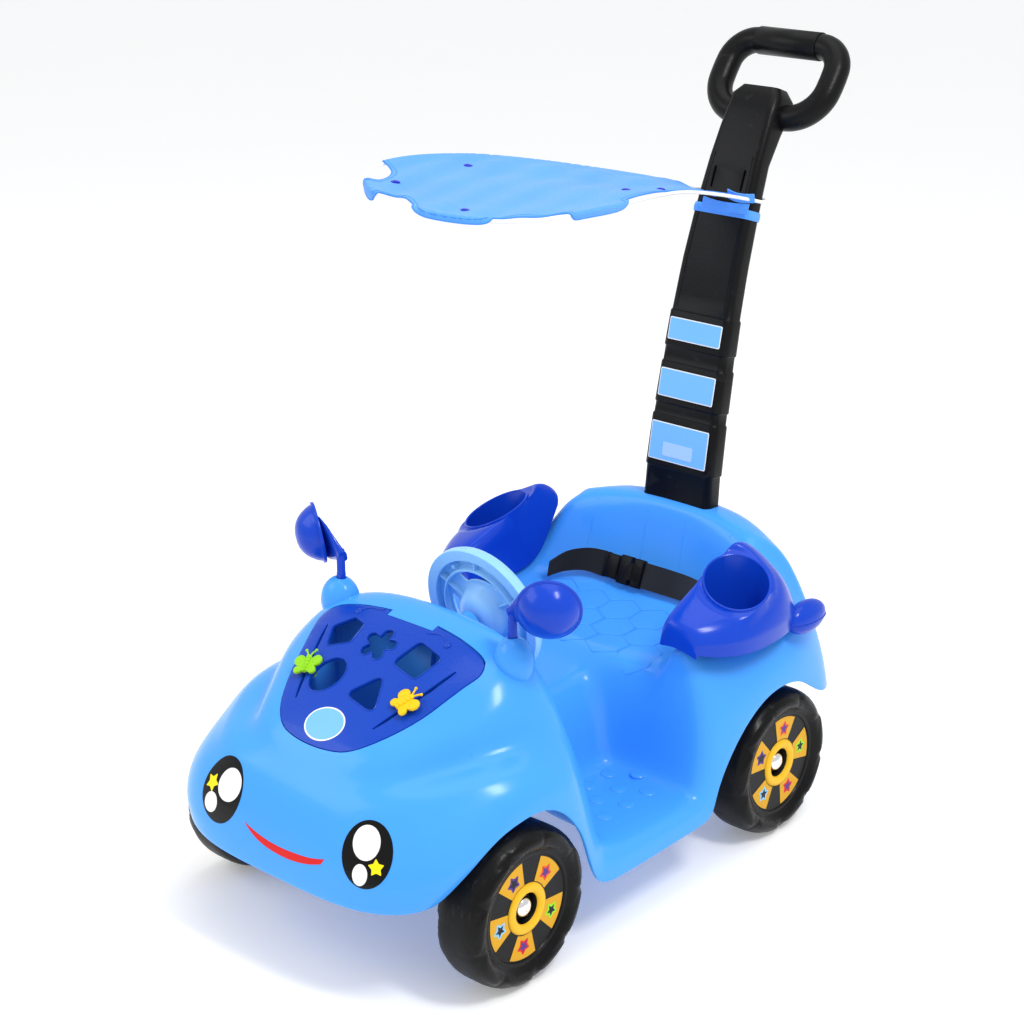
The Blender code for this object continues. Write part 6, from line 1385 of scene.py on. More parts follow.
def make_wheels():
    """One wheel, its stickers and its cap are modelled, and copied to the four places."""
    tyre = lathe("tyre", WHEEL_PROFILE, Matrix(), 180, endless=True)
    mould_tread(tyre)
    ring = lathe("hub_ring", HUB_RING_PROFILE, Matrix(), 64)
    cap = lathe("push_cap", CAP_PROFILE, Matrix(), 40)
    segments = []
    stars = []
    for index, (outline_look, core_look) in enumerate(STAR_LOOKS):
        angle = index * math.tau / len(STAR_LOOKS)
        segments.append(plain_film("segment", segment_outline(angle), FACE_HEIGHT, FILM_AMBER))
        centre = (STAR_PLACE * math.sin(angle), STAR_PLACE * math.cos(angle))
        lean = math.pi / 2 - angle
        outer = rounded_polygon(sharp_star(centre, 0.0098, 0.0058, lean), 0.0008, 3)
        core = sharp_star(centre, 0.0068, 0.0032, lean)
        stars.append(plain_film(f"star_rim_{index}", outer, FACE_HEIGHT + 0.00015, outline_look))
        stars.append(plain_film(f"star_core_{index}", core, FACE_HEIGHT + 0.00030, core_look))
    face = merge("segments", segments)
    pieces = [(tyre, "tyre", TYRE, "black_plastic"), (ring, "hub_ring", FILM_YELLOW_RING, "label_film"),
              (face, "sticker_segments", FILM_AMBER, "label_film"), (cap, "push_cap", CHROME, "chrome")]
    for end, y, phase in (("front", AXLE_Y, FRONT_PHASE), ("rear", REAR_AXLE_Y, REAR_PHASE)):
        for side, label in ((1, "left"), (-1, "right")):
            hub = Vector((side * WHEEL_MIDDLE, y, WHEEL_RADIUS))
            place = (Matrix.Translation(hub) @ Matrix.Rotation(0.0 if side > 0 else math.pi, 4, "Z")
                     @ Matrix.Rotation(-phase, 4, "X")
                     @ seen_from(Vector((0, 1, 0)), Vector((0, 0, 1)), Vector((1, 0, 0))))
            body = f"{end}_{label}_wheel"
            for item, kind, look, slot in pieces:
                nodes = {"tyre": [f"wheel_{end}_{label}"], "push_cap": [f"axle_cap_{end}_{label}"]}
                stands_for = nodes.get(kind, [])
                # The cap is pressed on the fixed axle, so it stays while the wheel turns
                carrier = "chassis" if kind == "push_cap" else body
                twin = copy_of(item, f"{kind}_{end}_{label}", place)
                complete(twin, look, carrier, slot, *stands_for, angle=40)
            for index, item in enumerate(stars):
                kind = "star_rim" if index % 2 == 0 else "star_core"
                complete(copy_of(item, f"{kind}_{end}_{label}_{index // 2}", place),
                         STAR_LOOKS[index // 2][index % 2], body, "label_film")
    for item in [tyre, ring, cap, face] + stars:
        bpy.data.objects.remove(item, do_unlink=True)


# Steering wheel. Profiles are (radius, distance toward the driver from the open edge).

HAND_WHEEL_PROFILE = [(0.0043, 0.0150), (0.0120, 0.0147), (0.0200, 0.0138), (0.0300, 0.0112),
                      (0.0400, 0.0104), (0.0500, 0.0108), (0.0560, 0.0138), (0.0600, 0.0160),
                      (0.0650, 0.0171), (0.0700, 0.0163), (0.0740, 0.0132), (0.0760, 0.0090),
                      (0.0765, 0.0050), (0.0762, 0.0006), (0.0756, 0.0), (0.0640, 0.0), (0.0634, 0.0006),
                      (0.0636, 0.0080), (0.0600, 0.0105), (0.0560, 0.0098), (0.0536, 0.0070),
                      (0.0531, 0.0006), (0.0526, 0.0), (0.0509, 0.0), (0.0504, 0.0006), (0.0498, 0.0072),
                      (0.0440, 0.0080), (0.0340, 0.0078), (0.0312, 0.0060), (0.0290, 0.0010),
                      (0.0262, -0.0040), (0.0225, -0.0080), (0.0175, -0.0108), (0.0115, -0.0121),
                      (0.0043, -0.0125)]
HUB_CAP_PROFILE = [(0.0, 0.0200), (0.0060, 0.0197), (0.0110, 0.0188), (0.0145, 0.0172), (0.0158, 0.0160),
                   (0.0160, 0.0154), (0.0, 0.0154)]
# Ribs as (size, place): the outer one stands at each sixth of a turn, the inner one at every second
WHEEL_RIBS = [((0.0125, 0.0016, 0.0080), (0.0583, 0.0, 0.0058)),
              ((0.0230, 0.0016, 0.0070), (0.0400, 0.0, 0.0050))]
CRESCENT_ARC = math.radians(82)
CRESCENT_RADII = (0.0365, 0.0475)
BOSS_TOP = -0.0160
BOSS_FOOT = -0.0600
BOSS_RADIUS = 0.0130


def crescent_outline(middle):
    inner, outer = CRESCENT_RADII
    points = []
    for step in range(15):
        angle = middle + CRESCENT_ARC * (step / 14 - 0.5)
        points.append((outer * math.cos(angle), outer * math.sin(angle)))
    for step in range(14, -1, -1):
        angle = middle + CRESCENT_ARC * 0.84 * (step / 14 - 0.5)
        points.append((inner * math.cos(angle), inner * math.sin(angle)))
    return points


def make_steering(body):
    """The play wheel, open below: wide rim face, inner ring wall, ribs, crescents and hub dome."""
    place = facing(STEERING_CENTRE, STEERING_AXIS)
    wheel = lathe("steering_wheel_moulding", HAND_WHEEL_PROFILE, Matrix(), 96, endless=True)
    for index in range(3):
        window = flat_shape("crescent", [crescent_outline(math.radians(90) + index * math.tau / 3)], 0.060)
        carve(wheel, window)
    ribs = []
    for index in range(6):
        turn = Matrix.Rotation(math.radians(30) + index * math.tau / 6, 4, "Z")
        for size, spot in WHEEL_RIBS[:2 - index % 2]:
            ribs.append(block("rib", size, turn @ Matrix.Translation(spot), 0.0003))
    ribs.append(rod("peg", 0.0022, 0.0090, Matrix.Translation((0.0310, 0.0490, 0.0060)), 16))
    wheel = merge("steering_wheel_moulding", [wheel] + ribs)
    wheel.data.transform(place)
    complete(wheel, PALE_BLUE, "hand_wheel", "steering_pale_blue", "steering_wheel")
    hub_cap = lathe("steering_hub_cap", HUB_CAP_PROFILE, place, 40)
    complete(hub_cap, ROYAL_BLUE, "hand_wheel", "trim_royal_blue", "steering_cap")
    boss = rod("dash_boss", BOSS_RADIUS, BOSS_TOP - BOSS_FOOT,
               place @ Matrix.Translation((0.0, 0.0, (BOSS_TOP + BOSS_FOOT) / 2)), 40)
    round_edges(boss, 0.0010)
    carve(body, boss, "UNION")
    carve(body, rod("spindle_bore", BORE_RADIUS, 0.1200, place @ Matrix.Translation((0.0, 0.0, -0.0400)), 24))


# Mirrors

MIRROR_RIM = (0.1630, 0.0800, 0.3670)
MIRROR_FACING = (0.580, -0.790, -0.170)
MIRROR_PROFILE = [(0.0, 0.0250), (0.0060, 0.0247), (0.0120, 0.0235), (0.0175, 0.0212), (0.0225, 0.0178),
                  (0.0265, 0.0136), (0.0298, 0.0090), (0.0318, 0.0054), (0.0328, 0.0030), (0.0333, 0.0020),
                  (0.0353, 0.0016), (0.0358, 0.0008), (0.0358, -0.0012), (0.0353, -0.0020), (0.0335, -0.0024),
                  (0.0325, -0.0020), (0.0315, -0.0006), (0.0, -0.0005)]

DISC_SHARE = 0.94
STALK_PROFILE = [(0.0, 0.0320), (0.0040, 0.0310), (0.0046, 0.0280), (0.0046, 0.0060), (0.0050, 0.0040),
                 (0.0050, 0.0005), (0.0047, -0.0010), (0.0047, -0.0258), (0.0, -0.0262)]


def make_mirror():
    """A domed back on a flat face, a flat tapered neck and a round stalk."""
    foot = Vector(MIRROR_FOOT)
    out = Vector(MIRROR_FACING).normalized()
    rim = at_axle(*MIRROR_RIM)
    disc = [(radius * DISC_SHARE, height) for radius, height in MIRROR_PROFILE]
    dome = lathe("dome", disc, facing(rim, out), 72)
    start = foot + Vector((0.0, 0.0, 0.0250))
    run = rim - start
    side = run.cross(out).normalized()
    rings = []
    for share, half_width, half_depth in MIRROR_NECK:
        middle = start + run * share
        ring = []
        for step in range(24):
            angle = math.tau * (step + 0.5) / 24
            across = math.copysign(abs(math.cos(angle)) ** 0.6, math.cos(angle))
            deep = math.copysign(abs(math.sin(angle)) ** 0.6, math.sin(angle))
            ring.append(middle + side * half_width * across + out * half_depth * deep)
        rings.append(ring)
    neck = skin("neck", rings, closed=True)
    stalk = lathe("stalk", STALK_PROFILE, Matrix.Translation(foot), 32)
    return merge("mirror_moulding_left", [dome, neck, stalk])


# Armrests: cross sections from the inner edge out to the lower outer edge

ARMREST_SECTIONS = [
    [(0.140, 0.293, 0.254), (0.146, 0.292, 0.256), (0.153, 0.292, 0.257), (0.161, 0.292, 0.257),
     (0.171, 0.293, 0.255), (0.181, 0.295, 0.251), (0.186, 0.298, 0.247)],
    [(0.139, 0.290, 0.258), (0.141, 0.289, 0.276), (0.149, 0.288, 0.284), (0.161, 0.288, 0.283),
     (0.173, 0.289, 0.278), (0.183, 0.290, 0.268), (0.185, 0.292, 0.256)],
    [(0.137, 0.305, 0.254), (0.139, 0.303, 0.284), (0.147, 0.302, 0.294), (0.165, 0.302, 0.290),
     (0.186, 0.303, 0.282), (0.197, 0.305, 0.266), (0.196, 0.308, 0.251)],
    [(0.1365, 0.330, 0.246), (0.137, 0.328, 0.297), (0.147, 0.326, 0.305), (0.172, 0.326, 0.296),
     (0.201, 0.328, 0.286), (0.212, 0.330, 0.265), (0.209, 0.332, 0.248)],
    [(0.1365, 0.358, 0.242), (0.137, 0.358, 0.312), (0.147, 0.358, 0.315), (0.178, 0.358, 0.303),
     (0.209, 0.358, 0.292), (0.2185, 0.360, 0.265), (0.2155, 0.360, 0.246)],
    [(0.1365, 0.395, 0.244), (0.138, 0.396, 0.333), (0.146, 0.397, 0.337), (0.178, 0.397, 0.317),
     (0.210, 0.396, 0.305), (0.219, 0.395, 0.266), (0.216, 0.395, 0.246)],
    [(0.137, 0.420, 0.256), (0.138, 0.421, 0.340), (0.146, 0.421, 0.343), (0.176, 0.422, 0.326),
     (0.207, 0.422, 0.312), (0.216, 0.422, 0.268), (0.213, 0.422, 0.246)],
    [(0.138, 0.440, 0.292), (0.138, 0.441, 0.328), (0.145, 0.441, 0.334), (0.172, 0.444, 0.319),
     (0.199, 0.448, 0.294), (0.208, 0.450, 0.258), (0.205, 0.450, 0.245)],
    [(0.140, 0.452, 0.307), (0.141, 0.455, 0.316), (0.147, 0.457, 0.318), (0.166, 0.461, 0.300),
     (0.186, 0.465, 0.275), (0.195, 0.466, 0.255), (0.193, 0.465, 0.247)],
    [(0.141, 0.451, 0.303), (0.143, 0.454, 0.306), (0.148, 0.456, 0.307), (0.165, 0.459, 0.286),
     (0.184, 0.463, 0.263), (0.191, 0.463, 0.251), (0.190, 0.462, 0.247)],
]
ARMREST_CREASE = 5
ARMREST_SHARPNESS = 0.55
CUP_BLEND = 0.0480
CUP_REACH = 0.0110


def seat_cup(armrest, middle, lean):
    """Brings the skin round the well to one sloping plane, so the cup's rim lies level on it."""
    for vertex in armrest.data.vertices:
        away = vertex.co - middle
        share = (CUP_BLEND - math.hypot(away.x, away.y)) / (CUP_BLEND - CUP_RADIUS - 0.0020)
        share = min(1.0, max(0.0, share))
        height = away.dot(lean)
        share *= max(0.0, 1.0 - (height / CUP_REACH) ** 4)
        vertex.co -= lean * (height + 0.0012) * share ** 2 * (3 - 2 * share)


def make_armrest():
    """A soft wedge with a cup well sunk in its sloping top, a lower skirt and a round tail knob."""
    sections = [[at_axle(*point) for point in section] for section in ARMREST_SECTIONS]
    armrest = skin("armrest_moulding_left", sections)
    columns = len(ARMREST_SECTIONS[0])

    def strength(first, second):
        return ARMREST_SHARPNESS if first % columns == second % columns == ARMREST_CREASE else 0.0

    crease(armrest, strength)
    smooth_form(armrest, 3)
    middle = at_axle(*CUP_CENTRE)
    lean = Vector(CUP_LEAN).normalized()
    seat_cup(armrest, middle, lean)
    modify(armrest, "SOLIDIFY", thickness=ARMREST_WALL, offset=-1.0)
    well = rod("cup_well", CUP_RADIUS, 0.200, Matrix.Translation((middle.x, middle.y, CUP_FLOOR + 0.100)), 96)
    start_edit(well)
    bpy.ops.mesh.bisect(plane_co=middle, plane_no=lean, use_fill=True, clear_outer=True)
    end_edit()
    carve(armrest, well, "UNION")
    carve(armrest, ball("tail_knob", at_axle(*KNOB_CENTRE), KNOB_RADII, sides=48), "UNION")
    inner = CUP_RADIUS - CUP_WALL
    hollow = [(0.0, CUP_FLOOR + CUP_WALL), (inner - 0.004, CUP_FLOOR + CUP_WALL),
              (inner - 0.001, CUP_FLOOR + 0.0037), (inner, CUP_FLOOR + 0.0070), (inner, CUP_FLOOR + 0.160),
              (0.0, CUP_FLOOR + 0.160)]
    carve(armrest, lathe("cup_space", hollow, Matrix.Translation((middle.x, middle.y, 0.0)), 96))
    line = []
    for step in range(48):
        angle = math.tau * step / 48
        x, y = (inner + 0.0011) * math.cos(angle), (inner + 0.0011) * math.sin(angle)
        line.append(middle + Vector((x, y, -(lean.x * x + lean.y * y) / lean.z)))
    lip = tube("lip", line, 0.0013, True, 3, 2)
    seam = []
    for step in range(23):
        angle = math.radians(10 * step - 70)
        seam.append(at_axle(*KNOB_CENTRE) + Vector((KNOB_RADII[0] * 1.005 * math.cos(angle),
                                                    KNOB_RADII[1] * 1.005 * math.sin(angle), -0.0020)))
    return merge("armrest_moulding_left", [armrest, lip, tube("seam", seam, 0.0007, False, 2, 3)])


# Push pole and ring handle

def round_corners(half_u, half_v, upper, lower, steps):
    """Points round a rectangle whose upper and lower corners are arcs of those radii."""
    points = []
    for turn, (sign_u, sign_v) in enumerate(((1, 1), (-1, 1), (-1, -1), (1, -1))):
        corner = upper if sign_v > 0 else lower
        for step in range(steps + 1):
            angle = math.radians(90) * (turn + step / steps)
            points.append((sign_u * (half_u - corner) + corner * math.cos(angle),
                           sign_v * (half_v - corner) + corner * math.sin(angle)))
    return points


def rounded_ring(y, z, half_width, half_depth, corner, lean):
    """Points round a rounded rectangle, square to a line that leans back by that angle."""
    return [at_axle(x, y + depth * math.cos(lean), z - depth * math.sin(lean))
            for x, depth in round_corners(half_width, half_depth, corner, corner, CORNER_STEPS)]


def pole_at(z):
    """The pole's centre y, half width and lean at a height."""
    for index in range(len(POLE_LINE) - 1):
        low_y, low_z = POLE_LINE[index]
        high_y, high_z = POLE_LINE[index + 1]
        if z <= high_z:
            break
    t = (z - low_z) / (high_z - low_z)
    width = POLE_HALF_WIDTHS[index] * (1 - t) + POLE_HALF_WIDTHS[index + 1] * t
    return low_y + (high_y - low_y) * t, width, math.atan2(high_y - low_y, high_z - low_z)


def pole_ring(z, growth):
    y, width, lean = pole_at(z)
    return rounded_ring(y, z, width + growth, POLE_HALF_DEPTH + growth, POLE_CORNER + growth, lean)


def make_pole(body):
    """The flat leaning pole with three raised bands, two slits, and a head round the handle's tube."""
    rings = [pole_ring(POLE_FOOT, 0.0), pole_ring(0.330, 0.0)]
    for low, high in POLE_BANDS:
        rings += [pole_ring(low - away, BAND_RISE * share) for away, share in BAND_STEPS]
        rings += [pole_ring(high + away, BAND_RISE * share) for away, share in reversed(BAND_STEPS)]
    rings += [pole_ring(z, 0.0) for z in POLE_STATIONS]
    rings += [rounded_ring(*section, RING_LEAN * 0.55) for section in POLE_HEAD]
    pole = skin("push_pole_moulding", rings, closed=True)
    y, width, lean = pole_at(SLIT_Z)
    for side in (-1, 1):
        centre = at_axle(side * SLIT_X, y - POLE_HALF_DEPTH, SLIT_Z)
        place = Matrix.Translation(centre) @ Matrix.Rotation(-lean, 4, "X")
        carve(pole, block("slit", SLIT_SIZE, place, 0.0))
    round_edges(pole, 0.0006, 50)
    ridges = [pole]
    for side in (-1, 1):
        line = []
        for z in RIDGE_HEIGHTS:
            y, width, lean = pole_at(z)
            line.append(at_axle(side * (width - 0.0095), y - (POLE_HALF_DEPTH - 0.0001) * math.cos(lean),
                                z + (POLE_HALF_DEPTH - 0.0001) * math.sin(lean)))
        ridges.append(tube("ridge", line, 0.0007, False, 2, 4))
    complete(merge("push_pole_moulding", ridges), BLACK, "chassis", "black_plastic", "push_pole")
    carve(body, skin("pole_socket", [pole_ring(z, 0.0006) for z in (0.290, 0.330, 0.365)], closed=True))
    for index, (low, high) in enumerate(POLE_BANDS):
        low_y = pole_at(low)[0]
        high_y = pole_at(high)[0]
        lean = math.atan2(high_y - low_y, high - low)
        reach = POLE_HALF_DEPTH + BAND_RISE
        centre = at_axle(0.0, (low_y + high_y) / 2 - reach * math.cos(lean),
                         (low + high) / 2 + reach * math.sin(lean))
        across = Vector((1.0, 0.0, 0.0))
        up = Vector((0.0, math.sin(lean), math.cos(lean)))
        place = Matrix.Translation(centre) @ seen_from(across, up, across.cross(up))
        make_label(index, place, LABEL_HALF_WIDTHS[index], (high - low) / 2 - 0.0060)


def rounded_rectangle(half_width, half_height, corner, centre=(0.0, 0.0)):
    u, v = centre
    corners = [(u - half_width, v - half_height), (u + half_width, v - half_height),
               (u + half_width, v + half_height), (u - half_width, v + half_height)]
    return rounded_polygon(corners, corner, 4)


def make_label(index, place, half_width, half_height):
    """A bare label: a white edge round a light blue field; the lowest one has a paler panel to write on."""
    layers = [("edge", rounded_rectangle(half_width, half_height, 0.0020), 0.0010, FILM_WHITE),
              ("field", rounded_rectangle(half_width - 0.0012, half_height - 0.0012, 0.0014), 0.0014, LABEL)]
    if index == 0:
        layers.append(("panel", rounded_rectangle(half_width * 0.52, half_height * 0.36, 0.0015,
                                                  (0.0, -half_height * 0.36)), 0.0017, LABEL_PALE))
    for kind, outline, height, look in layers:
        layer = flat_shape(f"label_{kind}_{index + 1}", [outline], 0.0004)
        layer.data.transform(place @ Matrix.Translation((0.0, 0.0, height)))
        stands_for = [f"pole_label_{index + 1}"] if kind == "edge" else []
        complete(layer, look, "chassis", "label_film", *stands_for)


def handle_point(u, v):
    """A point of the ring handle's plane: sideways, and up the lean from its middle."""
    return at_axle(0.0, *RING_CENTRE) + Vector((u, v * math.sin(RING_LEAN), v * math.cos(RING_LEAN)))


def make_handle():
    """A closed ring of tube, rounder below than above, and a grip sleeve round its straight top."""
    loop = round_corners(RING_HALF_WIDTH, RING_HALF_HEIGHT, RING_TOP_CORNER, RING_LOW_CORNER, 8)
    ring = tube("ring_handle", [handle_point(u, v) for u, v in loop], RING_TUBE_RADIUS, True, 10, 3)
    complete(ring, BLACK, "chassis", "black_plastic", "push_handle", angle=60)
    top = facing(handle_point(0.0, RING_HALF_HEIGHT), (1, 0, 0))
    grip = lathe("grip_sleeve", GRIP_PROFILE, top, 48, endless=True)
    complete(grip, BLACK, "chassis", "black_plastic", "handle_grip", angle=50)


# Canopy

def hoop_frame():
    forward = Vector((math.sin(HOOP_YAW) * math.cos(HOOP_PITCH), -math.cos(HOOP_YAW) * math.cos(HOOP_PITCH),
                      math.sin(HOOP_PITCH)))
    side = Vector((math.cos(HOOP_YAW), math.sin(HOOP_YAW), 0.0))
    return forward, side, -side.cross(forward)


def hoop_point(along, across, lift=0.0):
    """A point of the canopy surface: forward from the pole, sideways, and above the wire's middle."""
    forward, side, up = hoop_frame()
    share = max(0.0, along / HOOP_HALF_OUTLINE[-1][0])
    twist = HOOP_TWIST * min(1.0, share / 0.6)
    turned_side = side * math.cos(twist) - up * math.sin(twist)
    crown = HOOP_CROWN * 4.0 * share * (1.0 - share)
    return at_axle(0.0, *HOOP_ORIGIN) + forward * along + turned_side * across + up * (crown + lift)


def wire_beside(point, outline):
    """The nearest place on the wire to a point of the canopy's plane, and how far inside it that point is."""
    here = Vector(point)
    nearest = None
    inside = False
    for first, second in zip(outline, outline[1:] + outline[:1]):
        edge = Vector(second) - Vector(first)
        share = max(0.0, min(1.0, (here - Vector(first)).dot(edge) / edge.length_squared))
        place = Vector(first) + edge * share
        if nearest is None or (here - place).length < (here - nearest).length:
            nearest = place
        if (first[0] > here.x) != (second[0] > here.x):
            if here.y < first[1] + edge.y * (here.x - first[0]) / edge.x:
                inside = not inside
    distance = (here - nearest).length
    return nearest, distance if inside else -distance


def make_canopy():
    """A bent wire hoop and one sheet of cloth stretched over it, with lobes that wrap the wire."""
    other_side = [(along, -across) for along, across in reversed(HOOP_HALF_OUTLINE[1:-1])]
    wire = [tuple(point) for point in soft_line(HOOP_HALF_OUTLINE + other_side, 6, True)]
    hoop = tube("hoop_wire", [hoop_point(*point) for point in wire], HOOP_RADIUS, True, 4, 2)
    complete(hoop, WIRE, "chassis", "white_wire", "canopy_hoop", angle=60)
    edge = [tuple(point) for point in soft_line(CLOTH_OUTLINE, 5, True)]
    cloth = flat_shape("canopy_sheet", [edge], 0.0, 0.0045)
    lay_map(cloth, lambda corner: cloth.data.vertices[corner].co.xy)

    def on_wire(u, v, height):
        """Over the wire, and beyond it round the wire and down; inside it sags and pulls into folds."""
        place, depth = wire_beside((u, v), wire)
        bend = HOOP_RADIUS + CLOTH_THICKNESS / 2 + 0.0003
        if depth < 0.0:
            turn = min(-depth / bend, WRAP_TURN)
            rest = -depth - bend * turn
            out = bend * math.sin(turn) + rest * math.cos(turn)
            rise = bend * math.cos(turn) - rest * math.sin(turn)
            spot = place + (Vector((u, v)) - place).normalized() * out
            return hoop_point(spot.x, spot.y, rise) + Vector((0.0, 0.0, height * math.cos(turn)))
        inner = min(1.0, depth / 0.0200)
        folds = FOLD_DEPTH * math.sin(46.0 * v + 22.0 * u) * math.sin(8.0 * u)
        folds += FOLD_DEPTH / 2 * math.sin(150.0 * v - 60.0 * u)
        sag = CLOTH_SAG * min(1.0, depth / 0.0600)
        return hoop_point(u, v, bend - min(0.0030, depth * 0.20) + folds * inner - sag + height)

    drape(cloth, on_wire)
    area = abs(sum(a[0] * b[1] - b[0] * a[1] for a, b in zip(edge, edge[1:] + edge[:1]))) / 2
    modify(cloth, "SOLIDIFY", thickness=CLOTH_THICKNESS, offset=0.0)
    complete(cloth, CLOTH, "chassis", "canopy_cloth", "canopy_cloth", angle=60)
    hem = tube("canopy_hem", [on_wire(u, v, 0.0) for u, v in edge], HEM_RADIUS, True, 2, 2)
    inner_edge = [on_wire(u, v, CLOTH_THICKNESS / 2) for u, v in grown(edge, HEM_WIDTH)]
    stitches = tube("canopy_stitching", inner_edge, STITCH_RADIUS, True, 1, 2)
    complete(hem, CLOTH_EDGE, "chassis", "canopy_cloth", angle=60)
    complete(stitches, CLOTH_EDGE, "chassis", "canopy_cloth", angle=60)
    lengths = [max(point[axis] for point in edge) - min(point[axis] for point in edge) for axis in (1, 0)]
    up = hoop_frame()[2]
    for index, (along, across) in enumerate(SNAP_SPOTS):
        place = facing(on_wire(along, across, 0.0004), up)
        complete(lathe(f"snap_{index + 1}", SNAP_PROFILE, place, 32), SNAP, "chassis", "snap_blue",
                 f"canopy_snap_{index + 1}")


def make_canopy_strap():
    """The cloth loop that ties the hoop to the pole, with two loose tabs in front."""
    rows = []
    for step in range(7):
        z = STRAP_FOOT + STRAP_HEIGHT * step / 6
        swell = 0.0012 + 0.0009 * math.sin(math.pi * step / 6)
        rows.append(pole_ring(z, swell))
    rows += [pole_ring(STRAP_FOOT + STRAP_HEIGHT * step / 6, 0.0006) for step in (6, 0)]
    band = skin("canopy_band", [[*row, row[0]] for row in [*rows, rows[0]]])
    start_edit(band)
    bpy.ops.mesh.remove_doubles(threshold=WELD)
    bpy.ops.mesh.normals_make_consistent(inside=False)
    end_edit()
    tabs = [band]
    for corners in STRAP_TABS:
        rows = []
        for step in range(7):
            share = step / 6
            low = at_axle(*corners[0]).lerp(at_axle(*corners[1]), share)
            high = at_axle(*corners[3]).lerp(at_axle(*corners[2]), share)
            bulge = Vector((0.0, -0.0040 * math.sin(math.pi * share), -0.0015 * math.sin(math.pi * share)))
            rows.append([low.lerp(high, part / 4) + bulge for part in range(5)])
        tab = skin("tab", rows)
        modify(tab, "SOLIDIFY", thickness=TAB_THICKNESS, offset=0.0)
        tabs.append(tab)
    strap = merge("canopy_band", tabs)
    places = [(vertex.co.x + vertex.co.y, vertex.co.z) for vertex in strap.data.vertices]
    lay_map(strap, lambda corner: places[corner])
    complete(strap, CLOTH, "chassis", "canopy_cloth", "canopy_strap", angle=60)


# Lap belt

def make_ribbon(name, line, node):
    """Woven webbing through stations of (x, lower y, lower z, upper y, upper z), mapped along its length."""
    stations = soft_line(line, 8)
    rows = []
    places = []
    run = 0.0
    before = None
    for low_x, low_y, low_z, high_y, high_z in stations:
        low = at_axle(low_x, low_y, low_z)
        high = at_axle(low_x, high_y, high_z)
        middle = (low + high) / 2
        run += (middle - before).length if before else 0.0
        before = middle
        ripple = 0.0007 * math.sin(run * 95.0)
        out = Vector((0.0, low.z - high.z, high.y - low.y)).normalized()
        rows.append([low.lerp(high, step / 6) + out * ripple for step in range(7)])
        places += [(run, step / 6) for step in range(7)]
    ribbon = skin(name, rows)
    lay_map(ribbon, lambda corner: places[corner])
    modify(ribbon, "SOLIDIFY", thickness=WEBBING_THICKNESS, offset=0.0)
    complete(ribbon, WEBBING, "chassis", "black_webbing", node, angle=60)


def make_belt():
    make_ribbon("webbing_left", BELT_LEFT, "belt_strap_left")
    make_ribbon("webbing_right", BELT_RIGHT, "belt_strap_right")
    lean = Matrix.Rotation(BUCKLE_LEAN, 4, "X")
    socket_place = Matrix.Translation(at_axle(*SOCKET_CENTRE)) @ lean
    socket = block("socket", SOCKET_SIZE, socket_place, 0.0020)
    for side in (-1, 1):
        place = socket_place @ Matrix.Translation((0.0020, 0.0, side * 0.0165))
        carve(socket, block("cut", (0.0060, 0.0200, 0.0130), place, 0.0), solver="EXACT")
    details = [socket]
    for step in range(5):
        place = socket_place @ Matrix.Translation((0.0030 + 0.0024 * step, -0.0046, 0.0))
        details.append(block("grip_line", (0.0009, 0.0012, 0.0180), place, 0.0002))
    complete(merge("buckle_socket_moulding", details), BLACK, "chassis", "black_plastic", "buckle_socket")
    tongue_place = Matrix.Translation(at_axle(*TONGUE_CENTRE)) @ lean
    bar_place = tongue_place @ Matrix.Translation((-0.0080, 0.0, 0.0))
    tongue = [block("tongue", TONGUE_SIZE, tongue_place, 0.0018),
              block("bar", (0.0030, 0.0085, 0.0300), bar_place, 0.0010)]
    for side in (-1, 1):
        place = tongue_place @ Matrix.Translation((0.0130, 0.0, side * 0.0105))
        tongue.append(block("prong", (0.0120, 0.0040, 0.0050), place, 0.0012))
    complete(merge("buckle_tongue_moulding", tongue), BLACK, "chassis", "black_plastic", "buckle_tongue")


# Carried-over nodes keep their shape and get their finish

def finish_nodes():
    looks = {"front_axle": STEEL, "rear_axle": STEEL, "steering_spindle": STEEL, "spindle_clip": STEEL,
             "butterfly_keeper_left": YELLOW, "butterfly_keeper_right": GREEN}
    for end in ("front", "rear"):
        for label in ("left", "right"):
            looks[f"axle_spacer_{end}_{label}"] = BLACK
    for name, look in looks.items():
        node = frame["nodes"][name]
        node.data.materials.clear()
        node.data.materials.append(look)


# Studio

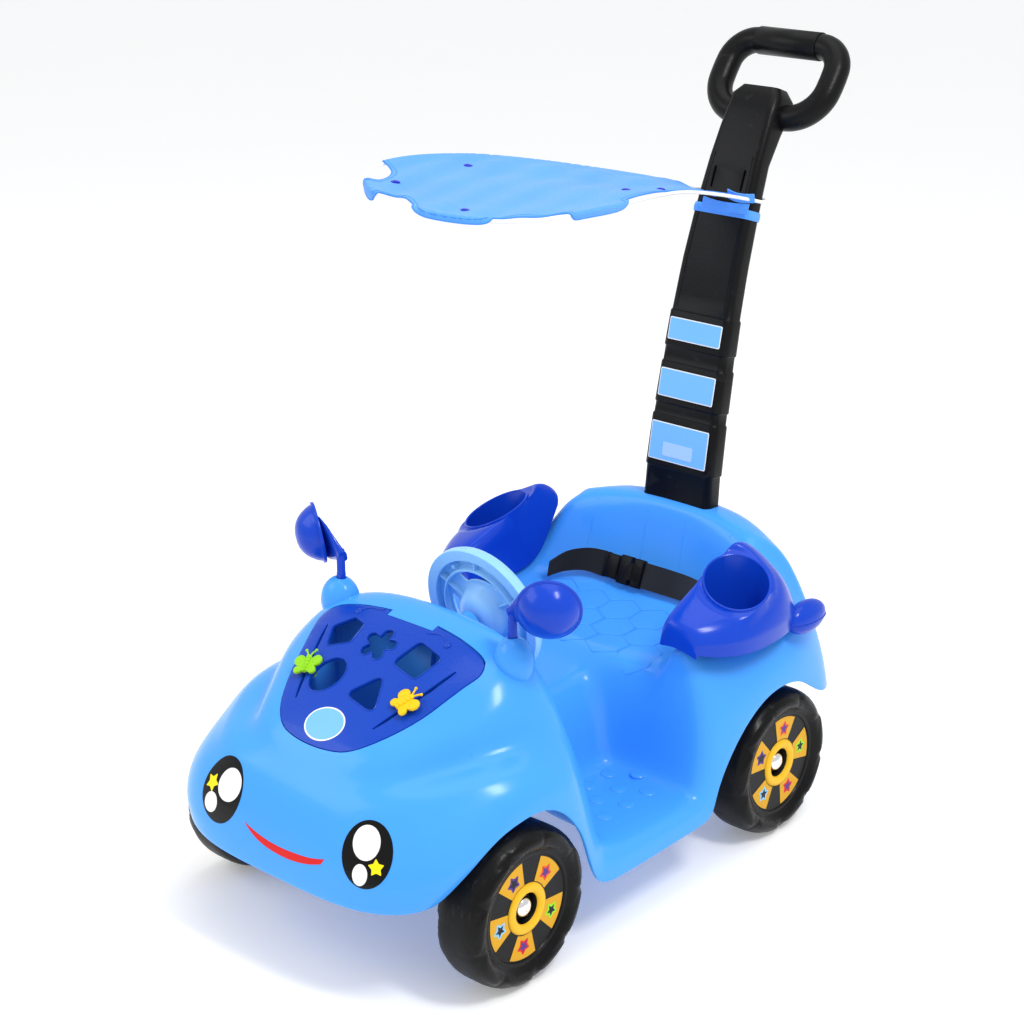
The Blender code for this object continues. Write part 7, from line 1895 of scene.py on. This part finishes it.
def make_camera():
    back = Vector((math.sin(CAMERA_AZIMUTH) * math.cos(CAMERA_ELEVATION),
                   -math.cos(CAMERA_AZIMUTH) * math.cos(CAMERA_ELEVATION), math.sin(CAMERA_ELEVATION)))
    right = Vector((math.cos(CAMERA_AZIMUTH), math.sin(CAMERA_AZIMUTH), 0.0))
    up = back.cross(right)
    rolled_right = right * math.cos(CAMERA_ROLL) + up * math.sin(CAMERA_ROLL)
    rolled_up = up * math.cos(CAMERA_ROLL) - right * math.sin(CAMERA_ROLL)
    lens = bpy.data.cameras.new("photo_camera")
    lens.sensor_width = SENSOR
    lens.lens = FOCAL
    lens.clip_end = 50.0
    camera = bpy.data.objects.new("photo_camera", lens)
    turn = seen_from(rolled_right, rolled_up, back)
    camera.matrix_world = Matrix.Translation(at_axle(*CAMERA_PLACE)) @ turn
    bpy.context.scene.collection.objects.link(camera)
    bpy.context.scene.camera = camera


def soft_light(name, place, aim, size, power):
    lamp = bpy.data.lights.new(name, "AREA")
    lamp.shape = "RECTANGLE"
    lamp.size, lamp.size_y = size
    lamp.energy = power
    light = bpy.data.objects.new(name, lamp)
    light.matrix_world = facing(place, Vector(place) - Vector(aim))
    bpy.context.scene.collection.objects.link(light)


def make_studio():
    scene = bpy.context.scene
    scene.view_settings.view_transform = "Standard"
    bpy.ops.mesh.primitive_circle_add(vertices=96, radius=FLOOR_RADIUS, fill_type="NGON")
    floor = named("studio_floor")
    floor.data.materials.append(FLOOR)
    world = bpy.data.worlds.new("pale_room")
    world.use_nodes = True
    background = world.node_tree.nodes["Background"]
    background.inputs["Color"].default_value = ROOM_COLOUR
    background.inputs["Strength"].default_value = ROOM_LIGHT
    scene.world = world
    for name, place, size, power in LAMPS:
        soft_light(name, place, LAMP_AIM, size, power)


body, surface = make_body()
open_bonnet(body, surface)
carry_axles(body, surface)
mirror_seats(body)
make_steering(body)
make_pole(body)
for axle_y in (AXLE_Y, REAR_AXLE_Y):
    across_car = facing((0.0, axle_y, WHEEL_RADIUS), (1, 0, 0))
    carve(body, rod("axle_bore", BORE_RADIUS, BORE_LENGTH, across_car, 24))
complete(body, LIGHT_BLUE, "chassis", "body_light_blue", "body_shell", angle=32)
dress_seat(surface)
make_lid(surface)
make_badge(surface)
make_butterfly("left", YELLOW, 1, "left_slider", surface, "yellow_plastic")
make_butterfly("right", GREEN, -1, "right_slider", surface, "green_plastic")
make_face(surface)
make_wheels()
complete_pair(make_mirror(), "mirror_moulding", "{side}_mirror", "mirror")
complete_pair(make_armrest(), "armrest_moulding", "chassis", "armrest")
make_handle()
make_canopy()
make_canopy_strap()
make_belt()
finish_nodes()
make_camera()
make_studio()
